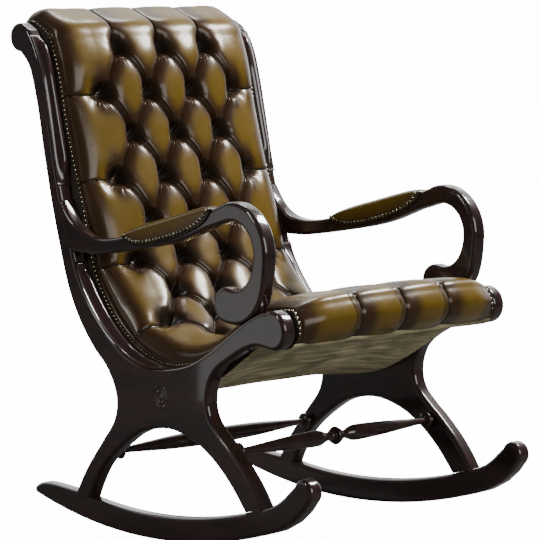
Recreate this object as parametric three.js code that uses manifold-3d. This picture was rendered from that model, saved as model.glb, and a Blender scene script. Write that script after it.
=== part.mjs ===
// A rocking chair: two flat timber side frames on fixed curved runners, C-shaped arms, two turned
// stretchers, and a deep-buttoned leather back and seat that hang between the frames.
// Lengths are in millimetres, +Z is up, the floor is Z = 0, the chair faces -Y and its right side is -X.

import * as THREE from 'three';
import { mergeVertices } from 'three/addons/utils/BufferGeometryUtils.js';
import Module from 'manifold-3d';

const wasm = await Module();
wasm.setup();

// Overall sizes of the timber, which the outlines below are shares of
const frameWidth = 582;
const frameDepth = 931;
const frameHeight = 1007;

// Side boards
const boardThick = 32;
const boardRound = 5;
const jointGap = 0.3;
const armTongue = 16;
const postScrollRadius = 29;
const railScrollRadius = 37;

// Runner
const runnerDeep = 49;
const runnerFacet = 48;
const runnerBulbRadius = 25;

// Arm scroll: a band round a centre, whose outside swells on the way down to its foot on the seat
const armScrollRadius = 96;
const armScrollBand = 37;
const armScrollInnerSwell = 9;

// Moulding on the front edge of each post. Its outline runs from the outer edge to the sitter:
// [share of the width, cove depths above the top, bead heights above the top]
const mouldingLeast = 7;
const mouldingCoveDeep = 5;
const mouldingBeadHigh = 3;
const mouldingShares = [
  [0.18, -1, 0], [0.36, -0.75, 0], [0.46, 0, 0], [0.60, 0, 1], [0.76, 0, 0.9], [0.90, 0, 0], [1, 0, -1],
];

// Upholstery shell: a thin side under each leather edge, webbing and cross rails
const shellThick = 11;
const cushionDeep = 14;
const rollWallDeep = 10;
const webThick = 2;
const webWide = 50;
const webTurnDown = 5;
const seatRailThick = 30;
const seatRailHigh = 38;
const backRailThick = 10;
const backRailHigh = 46;
const backRailLean = 14.6;
const rollRailClear = 3;

// Leather and cloth
const puffHigh = 46;
const curvePuffHigh = 58;
const rollPuffHigh = 31;
const frontPuffHigh = 34;
const edgeHigh = 24;
const curveEdgeHigh = 36;
const hemHigh = 5;
const edgeDrawIn = 6;
const crownPower = 4;
const foldShare = 0.34;
const pitShare = 0.55;
const wallPleatShare = 0.33;
const buttonPitch = 114;
const buttonRowPitch = 90.5;
const firstButtonRow = 181;
const lastButtonRow = 8;
const outerButton = 1.5;
const buttonPitWide = 17;
const clothThick = 2;
const clothRise = 16;
const clothSkew = 1.5;
const backLeatherThick = 3;
const backLeatherSwell = 5;
const backSwellEndShare = 0.2;
const sheetFlatInset = 2;

// Arm pads
const padSkin = 4;
const padCrown = 15;
const padDrop = 29;
const padEndPower = 3;
const padEndShare = 0.1;
const padCrownShares = [
  [-1, 0], [-0.8, 0.62], [-0.4, 0.92], [0, 1], [0.4, 0.92], [0.8, 0.62], [1, 0],
];

// Turned stretchers. The middle is given as [bead widths from the centre, share of the bead's
// radius], the taper as [share of the half length, share of the bead's radius], and the end as
// [bead widths in from the shoulder, share of the bead's radius]
const stretcherTenonRadius = 8;
const stretcherTenonLong = 15;
const stretcherBeadRadius = 18;
const stretcherBeadWide = 11;
const beadedMiddleShares = [
  [0, 1], [0.4, 0.96], [0.5, 0.54], [0.7, 0.78], [1, 0.58], [1.6, 0.45], [2.6, 0.51], [3.6, 0.82],
  [5, 0.89],
];
const plainMiddleShares = [[0, 0.85], [4, 0.89]];
const stretcherTaperShares = [[0.45, 0.78], [0.66, 0.59], [0.86, 0.39]];
const stretcherEndShares = [[1.5, 0.37], [1.35, 0.72], [0.95, 0.94], [0.5, 0.8], [0.4, 0.51], [0, 0.58]];

// Dowels, and the bolt that holds each side of the shell to its frame, under a turned roundel
const dowelRadius = 5;
const dowelLong = 52;
const armDowelLong = 38;
const boltRadius = 4;
const boltHeadRadius = 9;
const boltHeadThick = 6;
const boltHeadChamfer = 1;
const nutThick = 6;
const nutRadius = 8;
const nutSides = 6;
const roundelRadius = 23.5;
const roundelThick = 3.6;
const roundelShares = [
  [0, 0], [1, 0], [1, 0.8], [0.96, 1], [0.82, 1], [0.76, 0.67], [0.62, 0.67], [0.56, 1], [0.46, 1],
  [0.4, 0.67], [0.24, 0.67], [0.18, 1], [0, 1],
];

// Counts
const scrollSteps = 9;
const topRollSteps = 8;
const frontRollSteps = 5;
const armScrollSteps = 16;
const armCurlSteps = 8;
const armTopSteps = 3;
const archSteps = 3;
const runnerTopSteps = 18;
const shellEdgeSteps = 64;
const castSteps = 400;
const webSteps = 4;
const dowelSides = 10;
const turnedSides = 16;
const backRows = 39;
const seatRows = 25;
const columnsPerPitch = 6;
const sheetColumns = 6;
const webSeatCount = 4;
const webBackCount = 4;

// Places in the side plane, as shares of the depth (from the front) and of the height
const postScrollShare = [0.969, 0.970];
const railScrollShare = [0.119, 0.453];
const runnerLowShare = 0.6;
const runnerFrontShare = [0.096, 0.0838];
const runnerBulbShare = [0.027, 0.166];
const armScrollShare = [0.240, 0.586];
const armFootShare = [0.240, 0.452];
const roundelShare = [0.470, 0.288];
const frontStretcherShare = [0.270, 0.204];
const rearStretcherShare = [0.668, 0.151];
const seatRailShare = [0.575, 0.307];
const backRailShare = [0.7855, 0.536];

// Outlines of the side frame, as the same shares
const postRearShares = [
  [0.961, 0.939], [0.934, 0.916], [0.919, 0.887], [0.900, 0.828], [0.881, 0.747], [0.854, 0.645],
  [0.828, 0.564], [0.796, 0.478], [0.756, 0.413], [0.706, 0.361], [0.660, 0.326], [0.632, 0.289],
  [0.624, 0.256], [0.636, 0.219], [0.675, 0.176], [0.731, 0.114], [0.770, 0.059],
];
const postFrontShares = [
  [0.774, 0.546], [0.794, 0.594], [0.812, 0.641], [0.834, 0.713], [0.852, 0.788], [0.871, 0.862],
  [0.890, 0.922], [0.910, 0.959], [0.933, 0.986],
];
const seatLineShares = [
  [0.155, 0.483], [0.200, 0.463], [0.263, 0.424], [0.318, 0.391], [0.373, 0.365], [0.430, 0.349],
  [0.498, 0.341], [0.557, 0.348], [0.615, 0.370], [0.671, 0.408], [0.719, 0.454], [0.754, 0.500],
  [0.774, 0.546],
];
const underRailShares = [
  [0.142, 0.118], [0.165, 0.147], [0.197, 0.179], [0.241, 0.214], [0.278, 0.239], [0.308, 0.265],
  [0.319, 0.298], [0.309, 0.336], [0.284, 0.364], [0.242, 0.388], [0.203, 0.408], [0.166, 0.419],
  [0.139, 0.418],
];
const archShares = [
  [0.719, 0.051], [0.699, 0.086], [0.665, 0.129], [0.602, 0.176], [0.531, 0.213], [0.445, 0.228],
  [0.364, 0.215], [0.300, 0.186], [0.246, 0.147], [0.202, 0.103],
];
const runnerTailShares = [
  [0.810, 0.060], [0.863, 0.061], [0.893, 0.059], [0.911, 0.054], [0.924, 0.046],
];
const runnerRearShare = 0.925;
const runnerTopShares = [0.1235, 0.7747];
const runnerCurlUnderShares = [[0.055, 0.105], [0.024, 0.130]];
const runnerCurlOverShares = [[0.067, 0.163], [0.085, 0.148], [0.106, 0.134]];
const armTopShares = [
  [0.306, 0.663], [0.396, 0.637], [0.493, 0.613], [0.582, 0.594], [0.643, 0.583], [0.692, 0.580],
  [0.738, 0.587], [0.779, 0.609], [0.812, 0.647],
];
const armLowShares = [
  [0.774, 0.546], [0.692, 0.547], [0.595, 0.560], [0.482, 0.579], [0.402, 0.597], [0.317, 0.626],
];

// Joint lines across the side frame, from the sitter's side outwards
const postJointShares = [[0.640, 0.386], [0.689, 0.346]];
const railJointShares = [[0.348, 0.375], [0.311, 0.323]];
const armJointShares = [[0.774, 0.546], [0.812, 0.647]];

// Line of the leather's nailed edge, and the lower and rear edges of the shell's sides
const nailLineShares = [
  [0.911, 0.976], [0.897, 0.954], [0.881, 0.919], [0.868, 0.881], [0.858, 0.842], [0.846, 0.794],
  [0.825, 0.729], [0.790, 0.636], [0.763, 0.541], [0.734, 0.482], [0.693, 0.433], [0.661, 0.406],
  [0.620, 0.380], [0.571, 0.357], [0.513, 0.345], [0.462, 0.345], [0.403, 0.358], [0.344, 0.381],
  [0.285, 0.414], [0.223, 0.451], [0.178, 0.475],
];
const shellUnderShares = [
  [0.165, 0.420], [0.200, 0.411], [0.243, 0.384], [0.301, 0.348], [0.350, 0.322], [0.407, 0.296],
  [0.478, 0.277], [0.548, 0.273], [0.592, 0.280],
];
const shellRearShares = [
  [0.604, 0.292], [0.643, 0.328], [0.691, 0.369], [0.742, 0.421], [0.779, 0.478], [0.810, 0.564],
  [0.836, 0.645], [0.863, 0.747], [0.882, 0.828], [0.903, 0.890], [0.935, 0.931],
];

// Where things lie along those lines, as shares of their length
const cushionSplitShare = 0.635;
const cushionEndShare = 0.04;
const fullPuffShares = [0.10, 0.19];
const frontPuffShares = [0.80, 0.93];
const curveStartShares = [0.30, 0.48];
const curveEndShares = [0.60, 0.76];
const deepWallShares = [0.10, 0.16];
const frontWallShares = [0.85, 0.91];
const armDowelShare = 0.28;
const webBackShares = [0.16, 0.38];
const webSeatShares = [0.66, 0.88];
const padShare = 0.4;
const upperMouldingShares = [0.31, 0.94];
const lowerMouldingShares = [0.46, 0.96];

// Angles in degrees, from +Y towards +Z
const postScrollAngles = [115, -75];
const topRollAngles = [-60, 112];
const frontRollAngles = [112, 215];
const underRollAngles = [219, 272];
const railScrollAngles = [278, 62];
const bulbAngles = [215, 22];
const armScrollAngles = [76, 282];
const armSwellAngles = [186, 266];
const armFootAngle = 252;

// Small working values
const overrun = 60;
const jointOverrun = 12;
const footInset = 1;
const mergeTolerance = 1e-5;
const half = 0.5;
const quarterTurn = Math.PI / 2;
const halfTurnDegrees = 180;

const boardInnerX = frameWidth / 2 - boardThick;
const shellInnerX = boardInnerX - shellThick;
const cushionHalf = shellInnerX - jointGap;

function radians(degrees) {
  return THREE.MathUtils.degToRad(degrees);
}

function place([depthShare, heightShare]) {
  return new THREE.Vector2((depthShare - half) * frameDepth, heightShare * frameHeight);
}

// A smooth line through places in the side plane
function through(shares, stepsPerSpan = 2) {
  return new THREE.SplineCurve(shares.map(place)).getPoints((shares.length - 1) * stepsPerSpan);
}

// Points of a circular arc, from one angle to the other
function arc(centre, radius, [from, to], steps) {
  const points = [];
  for (let step = 0; step <= steps; step += 1) {
    const angle = radians(from + ((to - from) * step) / steps);
    points.push(new THREE.Vector2(
      centre.x + radius * Math.cos(angle),
      centre.y + radius * Math.sin(angle),
    ));
  }
  return points;
}

function backwards(points) {
  return [...points].reverse();
}

function shifted(point, across, up) {
  return new THREE.Vector2(point.x + across, point.y + up);
}

// The side plane's (y, z) and thickness become the model's (y, z) and x
const sideways = new THREE.Matrix4().makeBasis(
  new THREE.Vector3(0, 1, 0),
  new THREE.Vector3(0, 0, 1),
  new THREE.Vector3(1, 0, 0),
);

// A board of the side plane from x = 0 to its thickness, with its edges rounded within the outline
function board(outline, thickness, round) {
  const geometry = new THREE.ExtrudeGeometry(new THREE.Shape(outline), {
    depth: thickness - 2 * round,
    bevelEnabled: round > 0,
    bevelSize: round,
    bevelThickness: round,
    bevelOffset: -round,
    bevelSegments: 2,
    curveSegments: 1,
  });
  geometry.translate(0, 0, round);
  return geometry.applyMatrix4(sideways);
}

// A tool for cutting, which reaches past both faces of a board
function cutter(outline) {
  const geometry = board(outline, boardThick + 2 * overrun, 0);
  return solid(geometry.translate(-overrun, 0, 0));
}

function welded(geometry) {
  const bare = geometry.clone();
  bare.deleteAttribute('normal');
  bare.deleteAttribute('uv');
  return mergeVertices(bare, mergeTolerance);
}

function solid(geometry) {
  const mesh = welded(geometry);
  return new wasm.Manifold(new wasm.Mesh({
    numProp: 3,
    vertProperties: new Float32Array(mesh.attributes.position.array),
    triVerts: new Uint32Array(mesh.index.array),
  }));
}

function geometryOf(manifold) {
  const mesh = manifold.getMesh();
  const geometry = new THREE.BufferGeometry();
  geometry.setAttribute('position', new THREE.BufferAttribute(mesh.vertProperties, 3));
  geometry.setIndex(new THREE.BufferAttribute(mesh.triVerts, 1));
  return geometry;
}

function flipped(geometry) {
  const index = geometry.index;
  for (let corner = 0; corner < index.count; corner += 3) {
    const first = index.getX(corner);
    index.setX(corner, index.getX(corner + 1));
    index.setX(corner + 1, first);
  }
  return geometry;
}

function mirrored(geometry) {
  return flipped(welded(geometry).scale(-1, 1, 1));
}

function signedVolume(geometry) {
  const position = geometry.attributes.position;
  const index = geometry.index;
  const corners = [new THREE.Vector3(), new THREE.Vector3(), new THREE.Vector3()];
  let total = 0;
  for (let start = 0; start < index.count; start += 3) {
    corners.forEach((corner, step) => corner.fromBufferAttribute(position, index.getX(start + step)));
    total += corners[0].dot(corners[1].clone().cross(corners[2]));
  }
  return total;
}

// A closed skin carried through stations: each has its place and outward direction in the side
// plane, and a closed section of [x, height] pairs
function loft(stations) {
  const count = stations[0].section.length;
  const positions = [];
  for (const { point, out, section } of stations) {
    for (const [x, height] of section) {
      positions.push(x, point.x + out.x * height, point.y + out.y * height);
    }
  }
  const indices = [];
  for (let ring = 0; ring + 1 < stations.length; ring += 1) {
    for (let corner = 0; corner < count; corner += 1) {
      const near = ring * count + corner;
      const beside = ring * count + ((corner + 1) % count);
      indices.push(near, beside, beside + count, near, beside + count, near + count);
    }
  }
  const last = (stations.length - 1) * count;
  const capOf = ({ section }) => THREE.ShapeUtils.triangulateShape(
    section.map(([x, height]) => new THREE.Vector2(x, height)), []);
  const anticlockwise = ({ section }) => THREE.ShapeUtils.area(
    section.map(([x, height]) => new THREE.Vector2(x, height))) > 0;
  for (const [a, b, c] of capOf(stations[0])) {
    indices.push(...(anticlockwise(stations[0]) ? [a, c, b] : [a, b, c]));
  }
  for (const [a, b, c] of capOf(stations.at(-1))) {
    const turned = anticlockwise(stations.at(-1)) ? [a, b, c] : [a, c, b];
    indices.push(...turned.map((corner) => corner + last));
  }
  const geometry = new THREE.BufferGeometry();
  geometry.setAttribute('position', new THREE.Float32BufferAttribute(positions, 3));
  geometry.setIndex(indices);
  return signedVolume(geometry) < 0 ? flipped(geometry) : geometry;
}

// Place and sitter-side direction on a line of the side plane, at a distance along it
function stationAt(curve, along) {
  const share = THREE.MathUtils.clamp(along / curve.getLength(), 0, 1);
  const tangent = curve.getTangentAt(share);
  return { point: curve.getPointAt(share), out: new THREE.Vector2(tangent.y, -tangent.x) };
}

function lineThrough(points) {
  const curve = new THREE.SplineCurve(points);
  curve.arcLengthDivisions = points.length * 20;
  return curve;
}

function between([from, to], share) {
  return from + (to - from) * share;
}

const postScroll = place(postScrollShare);
const railScroll = place(railScrollShare);
const armScroll = place(armScrollShare);
const roundelPoint = place(roundelShare);

// The runner's circle touches the floor at its lowest point and goes through its front end
const runnerFront = place(runnerFrontShare);
const runnerLow = place([runnerLowShare, 0]);
const runnerRadius = runnerFront.distanceToSquared(runnerLow) / (2 * runnerFront.y);
const runnerCentre = new THREE.Vector2(runnerLow.x, runnerRadius);

// The arm's scroll swells until it reaches its foot on the seat
const armScrollSwell = armScroll.distanceTo(place(armFootShare)) - armScrollRadius;

// The line that the leather's edge is nailed along, from behind the top roll to under the front roll
const nailLine = lineThrough([
  ...arc(postScroll, postScrollRadius, topRollAngles, topRollSteps),
  ...nailLineShares.map(place),
  ...arc(railScroll, railScrollRadius, frontRollAngles, frontRollSteps),
]);
const nailLength = nailLine.getLength();

// Angles on the runner's circle are measured from its lowest point
function onRunner(radius, angle) {
  return new THREE.Vector2(
    runnerCentre.x + radius * Math.sin(angle),
    runnerCentre.y - radius * Math.cos(angle),
  );
}

// The angle at which a circle of the runner reaches a share of the depth
function runnerAngle(radius, depthShare) {
  return Math.asin(((depthShare - runnerLowShare) * frameDepth) / radius);
}

// The tread is a row of short flats, one of them centred on the lowest point
function runnerTread() {
  const front = runnerAngle(runnerRadius, runnerFrontShare[0]);
  const rear = runnerAngle(runnerRadius, runnerRearShare);
  const turn = runnerFacet / runnerRadius;
  const cornerRadius = runnerRadius / Math.cos(turn / 2);
  const points = [onRunner(runnerRadius, rear)];
  for (let flat = Math.floor(rear / turn); (flat - half) * turn > front; flat -= 1) {
    points.push(onRunner(cornerRadius, (flat - half) * turn));
  }
  return points;
}

function runnerTop(lift, steps) {
  const radius = runnerRadius - runnerDeep;
  const ends = runnerTopShares.map((share) => runnerAngle(radius, share));
  const points = [];
  for (let step = 0; step <= steps; step += 1) {
    points.push(onRunner(radius - lift, between(ends, step / steps)));
  }
  return points;
}

function runnerOutline() {
  return [
    ...runnerTread(),
    ...through(runnerCurlUnderShares),
    ...arc(place(runnerBulbShare), runnerBulbRadius, bulbAngles, scrollSteps),
    ...through(runnerCurlOverShares),
    ...runnerTop(0, runnerTopSteps),
    ...through(runnerTailShares),
  ];
}

// The point of the runner's middle line at a foot
function intoRunner(point) {
  const radius = runnerRadius - runnerDeep / 2;
  return onRunner(radius, Math.asin((point.x - runnerCentre.x) / radius));
}

// Posts, seat rail and legs as one outline, with the feet reaching down into the runner
function frameOutline() {
  const rear = through(postRearShares);
  const arch = through(archShares, archSteps);
  const under = through(underRailShares);
  return [
    ...arc(postScroll, postScrollRadius, postScrollAngles, scrollSteps),
    ...rear,
    intoRunner(rear.at(-1)),
    intoRunner(arch[0]),
    ...arch,
    intoRunner(arch.at(-1)),
    intoRunner(under[0]),
    ...under,
    ...arc(railScroll, railScrollRadius, railScrollAngles, scrollSteps),
    ...through(seatLineShares).slice(0, -1),
    ...through(postFrontShares),
  ];
}

function armBand(radius, swell, degrees) {
  const share = THREE.MathUtils.smoothstep(degrees, ...armSwellAngles);
  const reach = radius + swell * share;
  return new THREE.Vector2(
    armScroll.x + reach * Math.cos(radians(degrees)),
    armScroll.y + reach * Math.sin(radians(degrees)),
  );
}

// The arm: a long top and underside, the scroll's two lines, and a round curl at its end
function armOutline() {
  const innerRadius = armScrollRadius - armScrollBand;
  const outer = [];
  const inner = [];
  for (let step = 0; step <= armScrollSteps; step += 1) {
    const degrees = between(armScrollAngles, step / armScrollSteps);
    outer.push(armBand(armScrollRadius, armScrollSwell, degrees));
    inner.push(armBand(innerRadius, armScrollInnerSwell, degrees));
  }
  const curlCentre = outer.at(-1).clone().lerp(inner.at(-1), half);
  const curlRadius = outer.at(-1).distanceTo(inner.at(-1)) / 2;
  const curlStart = armScrollAngles[1];
  const curlAngles = [curlStart, curlStart + halfTurnDegrees];
  const curl = arc(curlCentre, curlRadius, curlAngles, armCurlSteps).slice(1, -1);
  const top = armTopLine();
  const low = through(armLowShares);
  return [
    ...outer,
    ...curl,
    ...backwards(inner),
    ...backwards(low),
    shifted(low[0], armTongue, 0),
    shifted(top.at(-1), armTongue, 0),
    ...backwards(top),
  ];
}

// A joint line, moved across itself and run on past the timber's edges at both ends
function jointLine(shares, shift) {
  const [from, to] = shares.map(place);
  const along = to.clone().sub(from).normalize();
  const across = new THREE.Vector2(-along.y, along.x).multiplyScalar(shift);
  return [
    from.clone().addScaledVector(along, -jointOverrun).add(across),
    to.clone().addScaledVector(along, jointOverrun).add(across),
  ];
}

const farFront = -frameDepth;
const farRear = frameDepth;
const farUp = 2 * frameHeight;

// Regions of the side plane that the joints divide; a shift widens each by that much
function postZone(shift) {
  const [inner, outer] = jointLine(postJointShares, -shift);
  return [
    inner,
    outer,
    new THREE.Vector2(farRear, outer.y),
    new THREE.Vector2(farRear, farUp),
    new THREE.Vector2(inner.x, farUp),
  ];
}

function railZone(shift) {
  const [inner, outer] = jointLine(railJointShares, shift);
  return [
    inner,
    outer,
    new THREE.Vector2(farFront, outer.y),
    new THREE.Vector2(farFront, farUp),
    new THREE.Vector2(inner.x, farUp),
  ];
}

function runnerZone(shift) {
  const front = place(underRailShares[0]).x + footInset + shift;
  const rear = place(postRearShares.at(-1)).x - footInset - shift;
  const joint = runnerTop(shift, 2 * runnerTopSteps).filter(
    (point) => point.x > front && point.x < rear);
  const frontTop = joint[0].y + 2 * runnerDeep;
  const rearTop = joint.at(-1).y + runnerDeep;
  return [
    new THREE.Vector2(farFront, frontTop),
    new THREE.Vector2(farFront, -overrun),
    new THREE.Vector2(farRear, -overrun),
    new THREE.Vector2(farRear, rearTop),
    new THREE.Vector2(rear, rearTop),
    new THREE.Vector2(rear, joint.at(-1).y),
    ...backwards(joint),
    new THREE.Vector2(front, joint[0].y),
    new THREE.Vector2(front, frontTop),
  ];
}

function armZone(shift) {
  const [low, high] = armJointShares.map(place);
  return [
    shifted(low, shift, 0),
    shifted(high, shift, 0),
    new THREE.Vector2(farFront, frameHeight),
    new THREE.Vector2(farFront, low.y - overrun),
  ];
}

function behindArm() {
  const [low, high] = armJointShares.map(place);
  const along = high.clone().sub(low);
  return [
    low.clone().sub(along),
    high.clone().add(along),
    new THREE.Vector2(farRear, high.y + along.y),
    new THREE.Vector2(farRear, low.y - along.y),
  ];
}

function underSeatLine(lift) {
  const roll = arc(railScroll, railScrollRadius, railScrollAngles, scrollSteps);
  const line = [...roll, ...through(seatLineShares)];
  const raised = line.map((point) => shifted(point, 0, lift));
  return [new THREE.Vector2(raised.at(-1).x, 0), new THREE.Vector2(raised[0].x, 0), ...raised];
}

// A cylinder in the side plane's thickness middle, pointing along a direction of the plane
function dowelGeometry(centre, direction, radius, length) {
  const geometry = new THREE.CylinderGeometry(radius, radius, length, dowelSides);
  geometry.rotateX(Math.atan2(direction.y, direction.x));
  return geometry.translate(boardThick / 2, centre.x, centre.y);
}

// A cylinder square to the side plane, between two values of x
function crossGeometry(centre, radius, fromX, toX, sides) {
  const geometry = new THREE.CylinderGeometry(radius, radius, toX - fromX, sides);
  geometry.rotateZ(quarterTurn);
  return geometry.translate((fromX + toX) / 2, centre.x, centre.y);
}

function acrossJoint(shares) {
  const [from, to] = shares.map(place);
  const along = to.clone().sub(from).normalize();
  return { centre: from.clone().lerp(to, half), direction: new THREE.Vector2(-along.y, along.x) };
}

function footJoint(frontLine, rearLine) {
  const middle = frontLine.clone().lerp(rearLine, half);
  const direction = middle.clone().sub(runnerCentre).normalize();
  const centre = runnerCentre.clone().addScaledVector(direction, runnerRadius - runnerDeep);
  return { centre, direction };
}

// The dowels of one side, each across a joint of its frame
function dowelPlan() {
  const [armJointLow, armJointHigh] = armJointShares.map(place);
  const armPoint = armJointLow.lerp(armJointHigh, armDowelShare);
  const armFoot = armBand(armScrollRadius, armScrollSwell, armFootAngle);
  const arch = through(archShares, archSteps);
  return {
    post_dowel: { ...acrossJoint(postJointShares), length: dowelLong },
    rail_dowel: { ...acrossJoint(railJointShares), length: dowelLong },
    arm_dowel: { centre: armPoint, direction: new THREE.Vector2(1, 0), length: armDowelLong },
    arm_foot_dowel: {
      centre: armFoot,
      direction: armScroll.clone().sub(armFoot).normalize(),
      length: armDowelLong,
    },
    front_foot_dowel: { ...footJoint(arch.at(-1), place(underRailShares[0])), length: dowelLong },
    rear_foot_dowel: { ...footJoint(arch[0], place(postRearShares.at(-1))), length: dowelLong },
  };
}

function withoutDowels(piece, plan) {
  let result = piece;
  for (const { centre, direction, length } of Object.values(plan)) {
    const hole = dowelGeometry(centre, direction, dowelRadius + jointGap, length + 2 * jointGap);
    result = result.subtract(solid(hole));
  }
  return result;
}

// X of the bolt's parts, measured from the board's inner face, outwards positive
const roundelSeatX = boardThick - roundelThick - jointGap;
const boltHeadX = roundelSeatX - boltHeadThick - jointGap;
const nutX = -shellThick - 2 * jointGap;

function boltHoles(piece) {
  const seat = crossGeometry(
    roundelPoint, roundelRadius + jointGap, roundelSeatX, boardThick + overrun, turnedSides);
  const counterbore = crossGeometry(
    roundelPoint, boltHeadRadius + jointGap, boltHeadX - jointGap, boardThick, turnedSides);
  const bore = crossGeometry(
    roundelPoint, boltRadius + jointGap, nutX - overrun, boardThick, dowelSides);
  return piece.subtract(solid(seat)).subtract(solid(counterbore)).subtract(solid(bore));
}

function stretcherSocket(point) {
  const radius = stretcherTenonRadius + jointGap;
  return solid(crossGeometry(point, radius, -overrun, stretcherTenonLong + jointGap, turnedSides));
}

function sideTimber(plan) {
  const frame = solid(board(frameOutline(), boardThick, boardRound));
  const runner = solid(board(runnerOutline(), boardThick, boardRound));
  const arm = solid(board(armOutline(), boardThick, boardRound));
  const legsAndRunner = frame.add(runner);
  const postAndArm = frame.add(arm);
  const pieces = {
    back_post: postAndArm.intersect(cutter(postZone(0))).subtract(cutter(armZone(0))),
    seat_side_rail: frame.intersect(cutter(railZone(0))),
    leg_yoke: boltHoles(legsAndRunner
      .subtract(cutter(postZone(jointGap)))
      .subtract(cutter(railZone(jointGap)))
      .subtract(cutter(runnerZone(jointGap)))
      .subtract(stretcherSocket(place(frontStretcherShare)))
      .subtract(stretcherSocket(place(rearStretcherShare)))),
    runner: legsAndRunner.intersect(cutter(runnerZone(0))),
    arm: arm
      .subtract(cutter(behindArm().map((point) => shifted(point, -jointGap, 0))))
      .subtract(cutter(underSeatLine(2 * jointGap))),
  };
  for (const name of Object.keys(pieces)) {
    pieces[name] = geometryOf(withoutDowels(pieces[name], plan));
  }
  return pieces;
}

// Distance from a point, along a direction, to a line of the side plane
function reachTo(curve, point, direction) {
  const points = curve.getPoints(castSteps);
  let best = Infinity;
  for (let step = 0; step + 1 < points.length; step += 1) {
    const span = points[step + 1].clone().sub(points[step]);
    const gap = points[step].clone().sub(point);
    const cross = direction.x * span.y - direction.y * span.x;
    const far = (gap.x * span.y - gap.y * span.x) / cross;
    const share = (gap.x * direction.y - gap.y * direction.x) / cross;
    if (share >= 0 && share <= 1 && far > 0 && far < best) {
      best = far;
    }
  }
  return best;
}

// Moulding between the board's front edge and the nailed edge: an outer arris, a cove and a bead
function mouldingSection(reach) {
  const high = Math.max(reach, mouldingLeast);
  const inside = jointGap;
  const outside = boardThick - boardRound / 2;
  const lip = Math.max(high - 2 * mouldingCoveDeep, 2 * jointGap);
  const shaped = mouldingShares.map(([across, coves, beads]) => [
    between([outside, inside], across),
    high + coves * mouldingCoveDeep + beads * mouldingBeadHigh,
  ]);
  return [[outside, jointGap], [outside, lip], ...shaped, [inside, jointGap]];
}

// Stations at the corners of a line, facing to the right-hand side of its run
function cornerStations(points) {
  return points.map((point, corner) => {
    const before = points[Math.max(corner - 1, 0)];
    const after = points[Math.min(corner + 1, points.length - 1)];
    const along = after.clone().sub(before).normalize();
    return { point, out: new THREE.Vector2(along.y, -along.x) };
  });
}

// A strip along part of a board's edge, with one station at each corner of the edge
function moulding(shares, run) {
  const corners = cornerStations(through(shares));
  const [first, last] = run.map((share) => Math.round(share * (corners.length - 1)));
  return loft(corners.slice(first, last + 1).map(({ point, out }) => {
    const facing = out.clone().negate();
    return { point, out: facing, section: mouldingSection(reachTo(nailLine, point, facing)) };
  }));
}

function shellUnderLine() {
  const roll = arc(railScroll, railScrollRadius, underRollAngles, frontRollSteps);
  return [...roll, ...through(shellUnderShares)];
}

// The shell's side: a thin board between the nailed edge and the outside back and underside
function shellSide() {
  const outline = [
    ...nailLine.getSpacedPoints(shellEdgeSteps),
    ...shellUnderLine(),
    ...through(shellRearShares),
  ];
  const plain = board(outline, shellThick - jointGap, 0).translate(-shellThick, 0, 0);
  return geometryOf(boltHoles(solid(plain)));
}

// Rises from 0 to 1 over a share of the way in from either end
function easeIn(share, width) {
  const fromEnd = Math.min(share, 1 - share);
  return THREE.MathUtils.smoothstep(fromEnd, 0, width);
}

// Rises from 0 to 1 over one range of a value, and falls back over another
function plateau(value, rise, fall) {
  return THREE.MathUtils.smoothstep(value, ...rise) - THREE.MathUtils.smoothstep(value, ...fall);
}

// The sewn pattern: 0 along the folds and 1 in the middle of a puff. The folds are the sides of
// diamonds between the button rows, straight pleats over the rolls and seat, and pleats to the sides.
function puffShare(x, along) {
  const rows = (along - firstButtonRow) / buttonRowPitch;
  const across = THREE.MathUtils.clamp(x / buttonPitch, -outerButton, outerButton);
  const down = THREE.MathUtils.clamp(rows, 0, lastButtonRow) / 2;
  const folds = Math.sin(Math.PI * (across + down)) * Math.sin(Math.PI * (across - down));
  return Math.sqrt(Math.abs(folds));
}

// How near a point is to a button, from 0 to 1
function buttonShare(x, along) {
  const nearest = Math.round((along - firstButtonRow) / buttonRowPitch);
  const row = THREE.MathUtils.clamp(nearest, 0, lastButtonRow);
  const offset = row % 2 === 0 ? 0 : half;
  const limit = outerButton - half + offset;
  const column = THREE.MathUtils.clamp(Math.round(x / buttonPitch - offset) + offset, -limit, limit);
  const away = Math.hypot(x - column * buttonPitch, along - firstButtonRow - row * buttonRowPitch);
  return Math.exp(-((away / buttonPitWide) ** 2) / 2);
}

// Height of the side walls above the nailed line: more where the back turns into the seat
function wallHeight(share) {
  return between([edgeHigh, curveEdgeHigh], plateau(share, curveStartShares, curveEndShares));
}

// Full height of the puffs: least over the two rolls, most where the back turns into the seat
function puffHeight(share) {
  const back = between([rollPuffHigh, puffHigh], THREE.MathUtils.smoothstep(share, ...fullPuffShares));
  const front = (frontPuffHigh - puffHigh) * THREE.MathUtils.smoothstep(share, ...frontPuffShares);
  const curve = (curvePuffHigh - puffHigh) * plateau(share, curveStartShares, curveEndShares);
  return back + front + curve;
}

// Height of the leather above the nailed line
function leatherHeight(x, along) {
  const share = along / nailLength;
  const wall = wallHeight(share);
  const crown = wall + (puffHeight(share) - wall) * (1 - (Math.abs(x) / cushionHalf) ** crownPower);
  const ends = easeIn(share, cushionEndShare);
  const puffed = crown * (1 - foldShare + foldShare * puffShare(x, along));
  return hemHigh + (puffed * (1 - pitShare * buttonShare(x, along)) - hemHigh) * ends;
}

function cushionWall(along) {
  const deepShare = plateau(along / nailLength, deepWallShares, frontWallShares);
  return between([rollWallDeep, cushionDeep], deepShare);
}

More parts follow.
